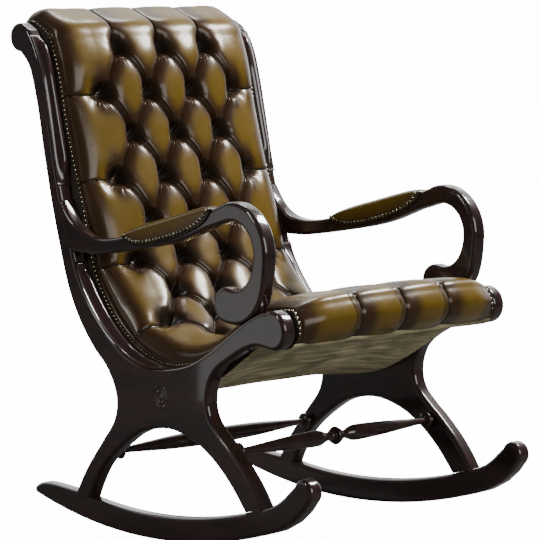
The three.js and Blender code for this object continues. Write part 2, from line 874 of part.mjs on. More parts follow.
// One cross-section of the upholstery: flat underneath, walls that pull in at the pleats, a crown
function cushionSection(along) {
  const drawn = edgeDrawIn * (1 - puffShare(cushionHalf, along));
  const edge = cushionHalf - jointGap;
  const shoulder = edge - edgeDrawIn - drawn;
  const share = along / nailLength;
  const wallTop = hemHigh + (wallHeight(share) - hemHigh) * easeIn(share, cushionEndShare);
  const shoulderHigh = wallTop * (1 - wallPleatShare * (drawn / edgeDrawIn));
  const step = buttonPitch / columnsPerPitch;
  const columns = Math.floor((edge - 2 * edgeDrawIn - step * half) / step);
  const section = [[-edge, 0], [-shoulder, shoulderHigh]];
  for (let column = -columns; column <= columns; column += 1) {
    section.push([column * step, leatherHeight(column * step, along)]);
  }
  const wall = -cushionWall(along);
  section.push([shoulder, shoulderHigh], [edge, 0], [edge, wall], [-edge, wall]);
  return section;
}

function cushion(from, to, rows) {
  const stations = [];
  for (let row = 0; row <= rows; row += 1) {
    const along = between([from, to], row / rows);
    stations.push({ ...stationAt(nailLine, along), section: cushionSection(along) });
  }
  return loft(stations);
}

// A strap across the shell, turned down at both ends against the shell's sides
function webStrap(share) {
  const middle = share * nailLength;
  const outside = cushionHalf;
  const inside = outside - webThick;
  const top = -cushionDeep - 2 * jointGap;
  const low = top - webThick;
  const stations = [];
  for (let step = 0; step <= webSteps; step += 1) {
    const along = middle + webWide * (step / webSteps - half);
    stations.push({
      ...stationAt(nailLine, along),
      section: [
        [-outside, top], [outside, top], [outside, low - webTurnDown],
        [inside, low - webTurnDown], [inside, low], [-inside, low],
        [-inside, low - webTurnDown], [-outside, low - webTurnDown],
      ],
    });
  }
  return loft(stations);
}

// A sheet outside a line of the shell, flat on the shell's sides and swelling between them
function sheet(points, thick, swell) {
  const edge = boardInnerX - jointGap;
  const flat = shellInnerX - sheetFlatInset;
  const columns = [-edge];
  for (let column = 0; column <= sheetColumns; column += 1) {
    columns.push(between([-flat, flat], column / sheetColumns));
  }
  columns.push(edge);
  return loft(cornerStations(points).map(({ point, out }, corner) => {
    const along = corner / (points.length - 1);
    const inner = columns.map((x) => (
      [x, jointGap + swell(THREE.MathUtils.clamp(1 - Math.abs(x) / flat, 0, 1), along)]));
    const outer = inner.map(([x, height]) => [x, height + thick]);
    return { point, out, section: [...inner, ...backwards(outer)] };
  }));
}

// The cloth is nailed along its edges and drawn up a little in the middle
function undersideCloth() {
  return sheet(shellUnderLine(), clothThick, (inward, along) => (
    -clothRise * THREE.MathUtils.smoothstep(inward, 0, half) * Math.sin(Math.PI * along ** clothSkew)));
}

function outsideBack() {
  return sheet(through(shellRearShares), backLeatherThick, (inward, along) => (
    backLeatherSwell * inward * (2 - inward) * easeIn(along, backSwellEndShare)));
}

function armTopLine() {
  return through(armTopShares, armTopSteps);
}

// Arm pad: a saddle over the arm's top, with lips that shorten towards its ends
function padGeometry() {
  const inside = boardThick / 2 + jointGap;
  const outside = inside + padSkin;
  const corners = cornerStations(armTopLine());
  const covered = corners.slice(0, Math.round(padShare * (corners.length - 1)) + 1);
  return loft(covered.map(({ point, out }, corner) => {
    const along = corner / (covered.length - 1);
    const full = Math.sqrt(Math.max(1 - Math.abs(2 * along - 1) ** padEndPower, padEndShare));
    const crown = padCrownShares.map(([acrossShare, highShare]) => (
      [acrossShare * outside, highShare * padCrown * full]));
    const drop = -padDrop * full;
    const across = [
      [-outside, drop],
      ...crown,
      [outside, drop],
      [inside, drop],
      [inside, 2 * jointGap],
      [-inside, 2 * jointGap],
      [-inside, drop],
    ];
    return {
      point,
      out: out.clone().negate(),
      section: across.map(([x, height]) => [x + boardThick / 2, height]),
    };
  }));
}

// Turned roundel: raised rings round a small boss
function roundelGeometry() {
  const profile = roundelShares.map(([radiusShare, highShare]) => (
    new THREE.Vector2(radiusShare * roundelRadius, highShare * roundelThick)));
  const geometry = new THREE.LatheGeometry(profile, turnedSides);
  geometry.rotateZ(-quarterTurn);
  return geometry.translate(roundelSeatX + jointGap, roundelPoint.x, roundelPoint.y);
}

function boltGeometry() {
  const end = nutX - nutThick - boltRadius;
  const top = boltHeadX + boltHeadThick;
  const profile = [
    [0, end],
    [boltRadius, end],
    [boltRadius, boltHeadX],
    [boltHeadRadius, boltHeadX],
    [boltHeadRadius, top - boltHeadChamfer],
    [boltHeadRadius - boltHeadChamfer, top],
    [0, top],
  ].map(([radius, x]) => new THREE.Vector2(radius, x));
  const geometry = new THREE.LatheGeometry(profile, dowelSides);
  geometry.rotateZ(-quarterTurn);
  return geometry.translate(0, roundelPoint.x, roundelPoint.y);
}

function nutGeometry() {
  const body = solid(crossGeometry(roundelPoint, nutRadius, nutX - nutThick, nutX, nutSides));
  const bore = crossGeometry(
    roundelPoint, boltRadius + jointGap, nutX - overrun, overrun, dowelSides);
  return geometryOf(body.subtract(solid(bore)));
}

// Half of a stretcher's turned outline, from the middle out: [distance along, radius]
function stretcherProfile(middleShares) {
  const shoulder = boardInnerX - jointGap;
  const tenonEnd = shoulder + stretcherTenonLong;
  const atBeads = ([beads, radiusShare]) => (
    [beads * stretcherBeadWide, radiusShare * stretcherBeadRadius]);
  return [
    ...middleShares.map(atBeads),
    ...stretcherTaperShares.map(([along, radiusShare]) => (
      [along * shoulder, radiusShare * stretcherBeadRadius])),
    ...stretcherEndShares.map(atBeads).map(([inward, radius]) => [shoulder - inward, radius]),
    [shoulder, stretcherTenonRadius],
    [tenonEnd, stretcherTenonRadius],
    [tenonEnd, 0],
  ];
}

function stretcherGeometry(middleShares) {
  const right = stretcherProfile(middleShares);
  const left = backwards(right.slice(1)).map(([along, radius]) => [-along, radius]);
  const points = [...left, ...right].map(([along, radius]) => new THREE.Vector2(radius, along));
  return new THREE.LatheGeometry(points, turnedSides);
}

const cherryBlack = { color: 0x2a1c19, roughness: 0.22, metalness: 0 };
const oliveLeather = { color: 0x7a6028, roughness: 0.32, metalness: 0 };
const brownLeather = { color: 0x4c3726, roughness: 0.36, metalness: 0 };
const hessian = { color: 0x77714f, roughness: 0.9, metalness: 0 };
const beech = { color: 0xb08c5c, roughness: 0.6, metalness: 0 };
const jute = { color: 0x9a8658, roughness: 0.95, metalness: 0 };
const steel = { color: 0x8f9296, roughness: 0.35, metalness: 1 };

function mesh(name, geometry, finish) {
  const part = new THREE.Mesh(geometry, new THREE.MeshStandardMaterial(finish));
  part.name = name;
  return part;
}

// All pieces of one side, in a group whose origin is at the board's inner face
function sideGroup(side, outward) {
  const group = new THREE.Group();
  const turned = (geometry) => (outward > 0 ? geometry : mirrored(geometry));
  const plan = dowelPlan();
  const add = (name, geometry, finish) => {
    group.add(mesh(`${name}_${side}`, turned(geometry), finish));
  };
  for (const [name, geometry] of Object.entries(sideTimber(plan))) {
    add(name, geometry, cherryBlack);
  }
  add('post_moulding_upper', moulding(postFrontShares, upperMouldingShares), cherryBlack);
  add('post_moulding_lower', moulding(seatLineShares, lowerMouldingShares), cherryBlack);
  add('arm_pad', padGeometry(), brownLeather);
  add('shell_side', shellSide(), beech);
  add('roundel', roundelGeometry(), cherryBlack);
  add('side_bolt', boltGeometry(), steel);
  add('side_bolt_nut', nutGeometry(), steel);
  for (const [name, { centre, direction, length }] of Object.entries(plan)) {
    add(name, dowelGeometry(centre, direction, dowelRadius, length), beech);
  }
  group.position.x = outward * boardInnerX;
  return group;
}

// A rail along X between the shell's sides
function crossRail(name, section, point, turn) {
  const rail = mesh(name, section, beech);
  rail.rotation.x = turn;
  rail.position.set(0, point.x, point.y);
  return rail;
}

function roundRail(name, radius, point) {
  const geometry = new THREE.CylinderGeometry(radius, radius, 2 * cushionHalf, turnedSides);
  return crossRail(name, geometry.rotateZ(quarterTurn), point, 0);
}

function flatRail(name, thick, high, point, turn) {
  return crossRail(name, new THREE.BoxGeometry(2 * cushionHalf, thick, high), point, turn);
}

function stretcher(name, share, middleShares) {
  const part = mesh(name, stretcherGeometry(middleShares), cherryBlack);
  const point = place(share);
  part.rotation.z = -quarterTurn;
  part.position.set(0, point.x, point.y);
  return part;
}

function upholstery() {
  const group = new THREE.Group();
  const split = cushionSplitShare * nailLength;
  group.add(mesh('back_cushion', cushion(0, split, backRows), oliveLeather));
  group.add(mesh('seat_cushion', cushion(split + jointGap, nailLength, seatRows), oliveLeather));
  group.add(mesh('outside_back', outsideBack(), brownLeather));
  group.add(mesh('underside_cloth', undersideCloth(), hessian));
  for (let strap = 0; strap < webBackCount; strap += 1) {
    const share = between(webBackShares, strap / (webBackCount - 1));
    group.add(mesh(`back_web_${strap + 1}`, webStrap(share), jute));
  }
  for (let strap = 0; strap < webSeatCount; strap += 1) {
    const share = between(webSeatShares, strap / (webSeatCount - 1));
    group.add(mesh(`seat_web_${strap + 1}`, webStrap(share), jute));
  }
  return group;
}

function crossTimber() {
  const group = new THREE.Group();
  const wall = cushionDeep + rollRailClear;
  const lean = radians(-backRailLean);
  group.add(roundRail('crest_rail', postScrollRadius - wall, postScroll));
  group.add(roundRail('front_rail', railScrollRadius - wall, railScroll));
  group.add(flatRail('rear_seat_rail', seatRailThick, seatRailHigh, place(seatRailShare), 0));
  group.add(flatRail('lower_back_rail', backRailThick, backRailHigh, place(backRailShare), lean));
  group.add(stretcher('front_stretcher', frontStretcherShare, beadedMiddleShares));
  group.add(stretcher('rear_stretcher', rearStretcherShare, plainMiddleShares));
  return group;
}

const chair = new THREE.Group();
chair.add(sideGroup('left', 1));
chair.add(sideGroup('right', -1));
chair.add(crossTimber());
chair.add(upholstery());

// The origin is on the floor under the middle of the whole chair
const bounds = new THREE.Box3().setFromObject(chair);
chair.position.y = -(bounds.min.y + bounds.max.y) / 2;

export default chair;
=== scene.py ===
"""A buttoned leather rocking chair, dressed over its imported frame.

The side frames are thick boards in the Y-Z plane, so most shapes are worked out in that side
plane first. Side-plane points are in millimetres, with their first number towards the back and
their second number up. Meshes are in metres, +Z up, and the chair faces -Y.
"""

import logging
from dataclasses import dataclass, field, replace
from enum import Enum
from typing import Callable

import bpy
import numpy as np
from mathutils import Matrix, Vector


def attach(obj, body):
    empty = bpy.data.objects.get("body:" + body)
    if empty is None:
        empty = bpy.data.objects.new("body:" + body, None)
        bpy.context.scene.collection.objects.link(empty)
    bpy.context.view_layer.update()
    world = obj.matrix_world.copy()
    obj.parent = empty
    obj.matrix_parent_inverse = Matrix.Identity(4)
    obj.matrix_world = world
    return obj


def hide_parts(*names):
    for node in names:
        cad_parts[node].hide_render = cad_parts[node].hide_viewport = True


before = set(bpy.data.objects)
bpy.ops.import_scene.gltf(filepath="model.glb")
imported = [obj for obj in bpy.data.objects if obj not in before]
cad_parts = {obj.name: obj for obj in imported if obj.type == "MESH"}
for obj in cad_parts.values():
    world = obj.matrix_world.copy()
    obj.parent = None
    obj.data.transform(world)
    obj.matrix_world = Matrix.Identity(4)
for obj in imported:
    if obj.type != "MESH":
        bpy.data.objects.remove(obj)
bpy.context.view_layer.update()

log = logging.getLogger("rocking_chair")

Array = np.ndarray
Pair = tuple[float, float]
Triple = tuple[float, float, float]
Faces = list[tuple[int, ...]]
Arrays = tuple[Array, ...]
Thing = bpy.types.Object
Material = bpy.types.Material
Node = bpy.types.Node
Socket = bpy.types.NodeSocket
Sockets = tuple[Socket, ...]
Tree = bpy.types.NodeTree

MM = 0.001
FRAME_DEPTH = 931.0
FRAME_HEIGHT = 1007.0
FRAME_WIDTH = 582.0
BOARD_THICK = 32.0
BOARD_INNER = FRAME_WIDTH / 2 - BOARD_THICK
BOARD_MIDDLE = BOARD_INNER + BOARD_THICK / 2
BOARD_OUTER = BOARD_INNER + BOARD_THICK
NODE_GAP = 0.3
CENTRE_SHIFT = -10.612
BODY = "root"


class Side(Enum):
    """The sitter's side that a piece belongs to, with the sign of its X."""

    LEFT = 1
    RIGHT = -1

    @property
    def word(self) -> str:
        """The side's word in node names."""
        return self.name.lower()


# Small numeric helpers

def smoothstep(low: float, high: float, value: Array) -> Array:
    """Rises from 0 at low to 1 at high, as 3t^2 - 2t^3; high may lie below low, for a fall."""
    t = np.clip((np.asarray(value, float) - low) / (high - low), 0.0, 1.0)
    return t * t * (3.0 - 2.0 * t)


def ease_ends(share: Array, width: float) -> Array:
    """Rises from 0 at either end of a 0-to-1 share to 1 over a width, as a smoothstep."""
    return smoothstep(0.0, width, np.minimum(share, 1.0 - share))


def unit_rows(vectors: Array) -> Array:
    """Each row scaled to length 1."""
    return vectors / np.maximum(np.linalg.norm(vectors, axis=-1, keepdims=True), 1e-12)


def bell_mean(values: Array, reach: float) -> Array:
    """A moving average with bell-shaped weights, exp(-0.5 (k / reach)^2), and held ends.

    Args:
        values: evenly spaced values.
        reach: the bell's reach, in steps.

    Returns:
        As many averages.
    """
    far = int(3 * reach)
    weights = np.exp(-0.5 * (np.arange(-far, far + 1) / reach) ** 2)
    return np.convolve(np.pad(values, far, mode="edge"), weights / weights.sum(), mode="valid")


def place(shares: list[Pair]) -> Array:
    """Side-plane points from shares of the frame's depth (from the front) and height."""
    table = np.asarray(shares, float)
    return np.column_stack([(table[:, 0] - 0.5) * FRAME_DEPTH, table[:, 1] * FRAME_HEIGHT])


def arc(centre: Array, radius: float, start: float, end: float, steps: int) -> Array:
    """steps + 1 points of an arc in the side plane, by degrees from the back towards up."""
    turn = np.radians(np.linspace(start, end, steps + 1))
    return centre + radius * np.column_stack([np.cos(turn), np.sin(turn)])


def smooth_line(points: Array, per_span: int) -> Array:
    """A smooth line through points: each span is the cubic whose end slopes are half the
    difference of the neighbouring points, and an end point stands in for a missing neighbour.

    Args:
        points: the points that the line goes through.
        per_span: steps in each span.

    Returns:
        The points of the line, ends included.
    """
    padded = np.vstack([points[:1], points, points[-1:]])
    before, here, after, beyond = (padded[k:len(points) - 1 + k] for k in range(4))
    slope_in, slope_out = (after - before) / 2.0, (beyond - here) / 2.0
    t = (np.arange(per_span) / per_span)[None, :, None]
    here, after = here[:, None], after[:, None]
    slope_in, slope_out = slope_in[:, None], slope_out[:, None]
    spans = ((2 * here - 2 * after + slope_in + slope_out) * t ** 3
             + (-3 * here + 3 * after - 2 * slope_in - slope_out) * t ** 2 + slope_in * t + here)
    return np.vstack([spans.reshape(-1, points.shape[1]), points[-1:]])


class ArcLine:
    """A line of the side plane that is looked up by distance along it."""

    def __init__(self, points: Array, soften: float = 0.0) -> None:
        """Measures the line, and softens its directions.

        Args:
            points: the line's points, close together.
            soften: reach in millimetres over which directions are averaged.
        """
        steps = np.linalg.norm(np.diff(points, axis=0), axis=1)
        self.points = points
        self.along = np.concatenate([[0.0], np.cumsum(steps)])
        self.length = float(self.along[-1])
        grid = np.linspace(0.0, self.length, int(self.length) + 1)
        even = np.column_stack([np.interp(grid, self.along, points[:, k]) for k in (0, 1)])
        tangents = unit_rows(np.gradient(even, axis=0))
        if soften > 0:
            tangents = unit_rows(np.column_stack([bell_mean(tangents[:, k], soften) for k in (0, 1)]))
        self.grid, self.even, self.tangents = grid, even, tangents

    def at(self, along: Array) -> Arrays:
        """Place, tangent and right-hand direction at distances along the line.

        Args:
            along: distances in millimetres.

        Returns:
            Three arrays of side-plane vectors.
        """
        where = np.clip(along, 0.0, self.length)
        point = np.stack([np.interp(where, self.grid, self.even[:, k]) for k in (0, 1)], -1)
        tangent = unit_rows(np.stack(
            [np.interp(where, self.grid, self.tangents[:, k]) for k in (0, 1)], -1))
        return point, tangent, np.stack([tangent[..., 1], -tangent[..., 0]], -1)


def to_metres(x: Array, plane: Array) -> Array:
    """Model points in metres from X and side-plane points in millimetres."""
    return np.stack([x, plane[..., 0] + CENTRE_SHIFT, plane[..., 1]], -1) * MM


# Mesh helpers

@dataclass
class Surface:
    """Points and faces of one piece, with what its materials read."""

    points: Array
    faces: Faces
    uv: Array | None = None
    shares: dict[str, Array] = field(default_factory=dict)

    def turned_out(self) -> "Surface":
        """The same surface with every face turned over."""
        return replace(self, faces=[face[::-1] for face in self.faces])

    def mirrored(self) -> "Surface":
        """The surface's mirror image across X = 0, still facing out."""
        return replace(self, points=self.points * np.array([-1.0, 1.0, 1.0])).turned_out()

    def on_side(self, side: Side) -> "Surface":
        """The surface, made for the left, as it stands on either side."""
        return self if side is Side.LEFT else self.mirrored()


def join(surfaces: list[Surface]) -> Surface:
    """Several surfaces as one.

    Args:
        surfaces: the surfaces, of which only points and faces are kept.

    Returns:
        One surface with all their points and faces.
    """
    starts = np.cumsum([0] + [len(part.points) for part in surfaces[:-1]])
    return Surface(np.vstack([part.points for part in surfaces]), [
        tuple(int(corner + start) for corner in face)
        for part, start in zip(surfaces, starts) for face in part.faces])


def grid_faces(rows: int, columns: int, closed: bool = False) -> Faces:
    """Quads between the rows and columns of a grid of points, numbered row by row.

    Args:
        rows: rows of points.
        columns: points in each row.
        closed: whether each row's last point joins its first.

    Returns:
        The quads, facing the side from which rows run up and columns run right.
    """
    spans = columns if closed else columns - 1
    row, column = np.meshgrid(np.arange(rows - 1), np.arange(spans), indexing="ij")
    beside = (column + 1) % columns
    quads = np.stack([row * columns + column, row * columns + beside,
                      (row + 1) * columns + beside, (row + 1) * columns + column], -1)
    return [tuple(quad) for quad in quads.reshape(-1, 4).tolist()]


def signed_volume(surface: Surface) -> float:
    """Six times the volume that a closed surface's faces enclose.

    Args:
        surface: the surface, whose faces are cut into fans of triangles.

    Returns:
        The sum of a . (b x c) over the triangles, negative if the faces point inwards.
    """
    fans = [(face[0], *pair) for face in surface.faces for pair in zip(face[1:], face[2:])]
    a, b, c = surface.points[np.array(fans)].transpose(1, 0, 2)
    return float(np.sum(a * np.cross(b, c)))


def facing_out(surface: Surface) -> Surface:
    """A closed surface with its faces turned outwards."""
    return surface if signed_volume(surface) > 0 else surface.turned_out()


def closed_tube(rings: Array, uv: Array | None = None, **shares: Array) -> Surface:
    """A closed skin over rings of points, with a cap on the first and last ring.

    Args:
        rings: points in metres, by ring and by place in the ring.
        uv: a UV pair for each point.
        **shares: values for each point, by attribute name.

    Returns:
        The surface, facing out.
    """
    count, size = rings.shape[:2]
    points = rings.reshape(-1, 3)
    walls = grid_faces(count, size, closed=True)
    start = tuple(range(size))[::-1]
    end = tuple(range((count - 1) * size, count * size))
    flat_uv = None if uv is None else uv.reshape(-1, 2)
    flat_shares = {name: np.asarray(value, float).reshape(-1) for name, value in shares.items()}
    return facing_out(Surface(points, walls + [start, end], flat_uv, flat_shares))


def lathe(profile: Array, axis_point: Array, sides: int, along_x: float = 1.0) -> Surface:
    """A turned piece whose axis lies along X: each profile point goes round a circle.

    Args:
        profile: [distance along the axis, radius] pairs in millimetres, radii over 0.
        axis_point: the axis' place in the side plane.
        sides: points round each circle.
        along_x: 1, or -1 to turn the profile end for end.

    Returns:
        The closed surface.
    """
    turn = np.linspace(0.0, 2 * np.pi, sides, endpoint=False)
    radius = np.maximum(profile[:, 1], 0.01)[:, None]
    plane = np.stack([axis_point[0] + radius * np.cos(turn),
                      axis_point[1] + radius * np.sin(turn)], -1)
    x = np.repeat(along_x * profile[:, :1], sides, axis=1)
    return closed_tube(to_metres(x, plane))


# Finishes

@dataclass(frozen=True)
class Finish:
    """A surface finish: its name, the record's slot and how a piece gets it."""

    name: str
    slot: str
    build: Callable[["Finish"], Material]
    values: tuple[tuple[str, float], ...] = ()

    def material(self) -> Material:
        """The finish's material, made at its first use."""
        found = bpy.data.materials.get(self.name)
        return found if found is not None else self.build(self)

    def value(self, name: str, otherwise: float) -> float:
        """A named value of the finish, or another where it has none."""
        return dict(self.values).get(name, otherwise)


def rgb(red: float, green: float, blue: float, light: float = 1.0) -> tuple[float, ...]:
    """An opaque colour, with its three parts multiplied by a light."""
    return light * red, light * green, light * blue, 1.0


class Nodes:
    """A short hand for making and joining shader nodes in one tree."""

    def __init__(self, tree: Tree) -> None:
        """Keeps the tree."""
        self.tree = tree

    def add(self, kind: str, feeds: dict[int | str, object] | None = None, **settings: object) -> Node:
        """A new node with its properties set and its inputs linked or set.

        Args:
            kind: the node's type name.
            feeds: a socket or a plain value for inputs, by name or number.
            **settings: properties by name.

        Returns:
            The node.
        """
        node = self.tree.nodes.new(kind)
        for name, value in settings.items():
            setattr(node, name, value)
        self.feed(node, feeds or {})
        return node

    def feed(self, node: Node, feeds: dict[int | str, object]) -> None:
        """Links or sets a node's inputs: a socket or a plain value for each name or number."""
        for key, value in feeds.items():
            if isinstance(value, Socket):
                self.tree.links.new(value, node.inputs[key])
            else:
                node.inputs[key].default_value = value

    def math(self, operation: str, *values: object) -> Socket:
        """The result of a Math node."""
        return self.add("ShaderNodeMath", dict(enumerate(values)), operation=operation).outputs[0]

    def times(self, first: object, second: object) -> Socket:
        """The product of two values."""
        return self.math("MULTIPLY", first, second)

    def less(self, first: object, second: object) -> Socket:
        """The first value less the second."""
        return self.math("SUBTRACT", first, second)

    def most(self, first: object, second: object) -> Socket:
        """The larger of two values."""
        return self.math("MAXIMUM", first, second)

    def linear(self, value: object, slope: object, start: object) -> Socket:
        """A value times a slope, plus a start."""
        return self.math("MULTIPLY_ADD", value, slope, start)

    def ramp(self, value: object, low: float, high: float,
             out_low: float = 0.0, out_high: float = 1.0) -> Socket:
        """A clamped smooth mapping of one range, low to high, to another."""
        feeds = {"Value": value, "From Min": low, "From Max": high, "To Min": out_low, "To Max": out_high}
        return self.add("ShaderNodeMapRange", feeds, interpolation_type="SMOOTHSTEP").outputs["Result"]

    def mix(self, share: object, first: object, second: object) -> Socket:
        """One colour with a share of a second one mixed in."""
        return self.add("ShaderNodeMix", {0: share, 6: first, 7: second}, data_type="RGBA").outputs[2]

    def noise(self, vector: object, scale: float, detail: float = 3.0,
              roughness: float = 0.55) -> Socket:
        """The value of a Noise Texture, from 0 to 1."""
        feeds = {"Vector": vector, "Scale": scale, "Detail": detail, "Roughness": roughness}
        return self.add("ShaderNodeTexNoise", feeds).outputs["Fac"]

    def scaled(self, vector: object, scale: Triple) -> Socket:
        """A vector stretched along its own axes."""
        return self.add("ShaderNodeMapping", {"Vector": vector, "Scale": scale}).outputs["Vector"]

    def coordinates(self, kind: str) -> Socket:
        """One kind of texture coordinates, such as Object or UV."""
        return self.add("ShaderNodeTexCoord").outputs[kind]

    def attribute(self, name: str) -> Socket:
        """A share that the piece's mesh holds at its points."""
        return self.add("ShaderNodeAttribute", attribute_name=name).outputs["Fac"]

    def split(self, vector: object) -> list[Socket]:
        """A vector's X, Y and Z."""
        return list(self.add("ShaderNodeSeparateXYZ", {0: vector}).outputs)

    def bump(self, height: Socket, strength: float, distance: float, under: Socket | None = None,
             invert: bool = False) -> Socket:
        """A normal tilted by a height, over another normal; its distance is in metres."""
        feeds = {"Strength": strength, "Distance": distance, "Height": height}
        feeds = feeds if under is None else feeds | {"Normal": under}
        return self.add("ShaderNodeBump", feeds, invert=invert).outputs["Normal"]

    def group(self, tree: Tree, vector: object, size: float = 1.0) -> Node:
        """A node group's node, reading a vector at a size."""
        return self.add("ShaderNodeGroup", {"Vector": vector, "Size": size}, node_tree=tree)


def shared_group(name: str, outputs: tuple[str, ...],
                 work_out: Callable[[Nodes, Socket], Sockets]) -> Tree:
    """A node group that several materials place, made at its first use. Its inputs are Vector and
    Size, which the vector is multiplied by.

    Args:
        name: the group's name.
        outputs: its outputs' names.
        work_out: makes its nodes from the scaled vector, and gives the outputs' values.

    Returns:
        The group.
    """
    found = bpy.data.node_groups.get(name)
    if found is not None:
        return found
    tree = bpy.data.node_groups.new(name, "ShaderNodeTree")
    tree.interface.new_socket("Vector", in_out="INPUT", socket_type="NodeSocketVector")
    tree.interface.new_socket("Size", in_out="INPUT", socket_type="NodeSocketFloat")
    for label in outputs:
        tree.interface.new_socket(label, in_out="OUTPUT", socket_type="NodeSocketFloat")
    n = Nodes(tree)
    given = n.add("NodeGroupInput").outputs
    scaled = n.add("ShaderNodeVectorMath", {0: given["Vector"], "Scale": given["Size"]}, operation="SCALE")
    n.add("NodeGroupOutput", dict(zip(outputs, work_out(n, scaled.outputs[0]))))
    return tree


def grain_group() -> Tree:
    """Timber grain, as long streaks and fine pores, each from 0 to 1.

    Returns:
        The node group.
    """

    def work_out(n: Nodes, vector: Socket) -> Sockets:
        """Two noises that are drawn out along the board."""
        streaks = n.noise(n.scaled(vector, (60.0, 4.0, 26.0)), 1.0, 5.0, 0.6)
        pores = n.noise(n.scaled(vector, (700.0, 24.0, 420.0)), 1.0, 2.0, 0.5)
        return n.ramp(streaks, 0.35, 0.68), n.ramp(pores, 0.60, 0.74)

    return shared_group("timber_grain", ("Streaks", "Pores"), work_out)


def marks_group() -> Tree:
    """The unevenness that every finish shares, as soft smears from 0 to 1.

    Returns:
        The node group.
    """

    def work_out(n: Nodes, vector: Socket) -> Sockets:
        """A soft noise, ramped."""
        return (n.ramp(n.noise(vector, 9.0, 4.0), 0.35, 0.7),)

    return shared_group("handling_marks", ("Smears",), work_out)


def skin_group() -> Tree:
    """Leather skin: a pebbled grain and long soft creases, as heights from 0 to 1.

    Returns:
        The node group.
    """

    def work_out(n: Nodes, vector: Socket) -> Sockets:
        """Rounded cells for the grain, and a noise for the creases."""
        feeds = {"Scale": 620.0, "Smoothness": 0.6, "Vector": vector}
        cells = n.add("ShaderNodeTexVoronoi", feeds, feature="SMOOTH_F1")
        return cells.outputs["Distance"], n.noise(vector, 55.0, 5.0, 0.6)

    return shared_group("leather_skin", ("Grain", "Creases"), work_out)


def fold_group() -> Tree:
    """The upholstery's fold lines: Crease, the thin folds, and Tucks, fine lines beside them, which the
    leather paints as shade, and Rays, short wrinkles that run out from each button."""
    return shared_group("fold_lines", ("Crease", "Tucks", "Rays"), fold_lines)


def fold_lines(n: Nodes, vector: Socket) -> Sockets:
    """The fold lines' nodes, which follow the same pattern as the leather's heights.

    Args:
        n: the group's node maker.
        vector: the leather's own x and v, in metres.

    Returns:
        The values of Crease, Tucks and Rays, from 0 to 1.
    """
    pattern = Buttoning()
    pleat = Upholstery.front_pleat
    place_x, place_v, _ = n.split(vector)
    across = n.times(place_x, 1 / (MM * pattern.pitch))
    row = n.linear(place_v, 1 / (MM * pattern.row_pitch), -pattern.first_row / pattern.row_pitch)
    a = n.most(n.math("MINIMUM", across, pattern.outer), -pattern.outer)
    b = n.times(n.most(n.math("MINIMUM", row, pattern.last_row), 0.0), 0.5)
    middle = n.math("LESS_THAN", n.math("ABSOLUTE", across), pattern.outer)
    half = pattern.last_row / 2
    rows = n.math("LESS_THAN", n.math("ABSOLUTE", n.less(row, half)), half)
    slanted = 1 / np.hypot(1 / pattern.pitch, 0.5 / pattern.row_pitch)
    inner_step = n.linear(rows, slanted - pattern.pitch, pattern.pitch)
    wide = 2 * pattern.row_pitch
    step = n.linear(middle, n.less(inner_step, wide), wide)

    def part(value: Socket) -> Socket:
        """A value less its nearest whole number."""
        return n.less(value, n.math("ROUND", value))

    def line(distance: Socket, centre: float, width: float) -> Socket:
        """A soft line at a distance from a fold, in millimetres."""
        return n.ramp(n.math("ABSOLUTE", n.less(distance, centre)), 0.2 * width, width, 1.0, 0.0)

    plus = n.math("ADD", a, b)
    straight = n.less(a, b)
    arch = n.math("ABSOLUTE", n.math("SINE", n.times(plus, np.pi)))
    minus = n.linear(arch, -pattern.bow, straight)
    part_minus, part_plus = part(straight), part(plus)
    sharp, soft = n.times(part(minus), step), n.times(part_plus, step)
    front = n.math("GREATER_THAN", row, pattern.last_row + 0.5)
    crease = n.most(line(sharp, 0.0, 2.6), n.times(line(soft, 0.0, 2.0), 0.6))
    crease = n.most(crease, n.times(line(sharp, -pleat, 2.2), front))
    upper = n.ramp(n.math("FRACT", minus), 0.35, 0.85)
    beside = n.most(line(sharp, 5.0, 1.1), line(sharp, 9.8, 1.3))
    pair = n.times(n.most(line(soft, 4.5, 1.2), line(soft, -4.5, 1.2)), upper)
    tucks = n.times(n.most(beside, pair), n.times(middle, rows))
    tucks = n.most(tucks, n.times(line(sharp, -0.5 * pleat, 1.5), front))
    right = n.linear(n.math("ADD", part_plus, part_minus), 0.5 * pattern.pitch,
                     n.times(n.less(across, a), pattern.pitch))
    over = n.less(row, n.times(b, 2.0))
    down = n.times(n.math("ADD", n.less(part_plus, part_minus), over), pattern.row_pitch)
    reach = n.math("SQRT", n.math("ADD", n.times(right, right), n.times(down, down)))
    loose = n.noise(vector, 26.0, 2.0)
    wave = n.math("SINE", n.linear(n.math("ARCTAN2", down, right), 21.0, n.times(loose, 22.0)))
    ring = n.times(n.ramp(reach, 5.0, 15.0), n.ramp(reach, 15.0, 36.0, 1.0, 0.0))
    return crease, tucks, n.times(n.linear(wave, 0.5, 0.5), ring)


def new_material(name: str) -> tuple[Material, Nodes, Node]:
    """A material with a Principled BSDF and nothing else.

    Args:
        name: the material's name.

    Returns:
        The material, its node maker and its shader.
    """
    material = bpy.data.materials.new(name)
    material.use_nodes = True
    n = Nodes(material.node_tree)
    material.node_tree.nodes.clear()
    shader = n.add("ShaderNodeBsdfPrincipled")
    n.add("ShaderNodeOutputMaterial", {"Surface": shader.outputs[0]})
    return material, n, shader


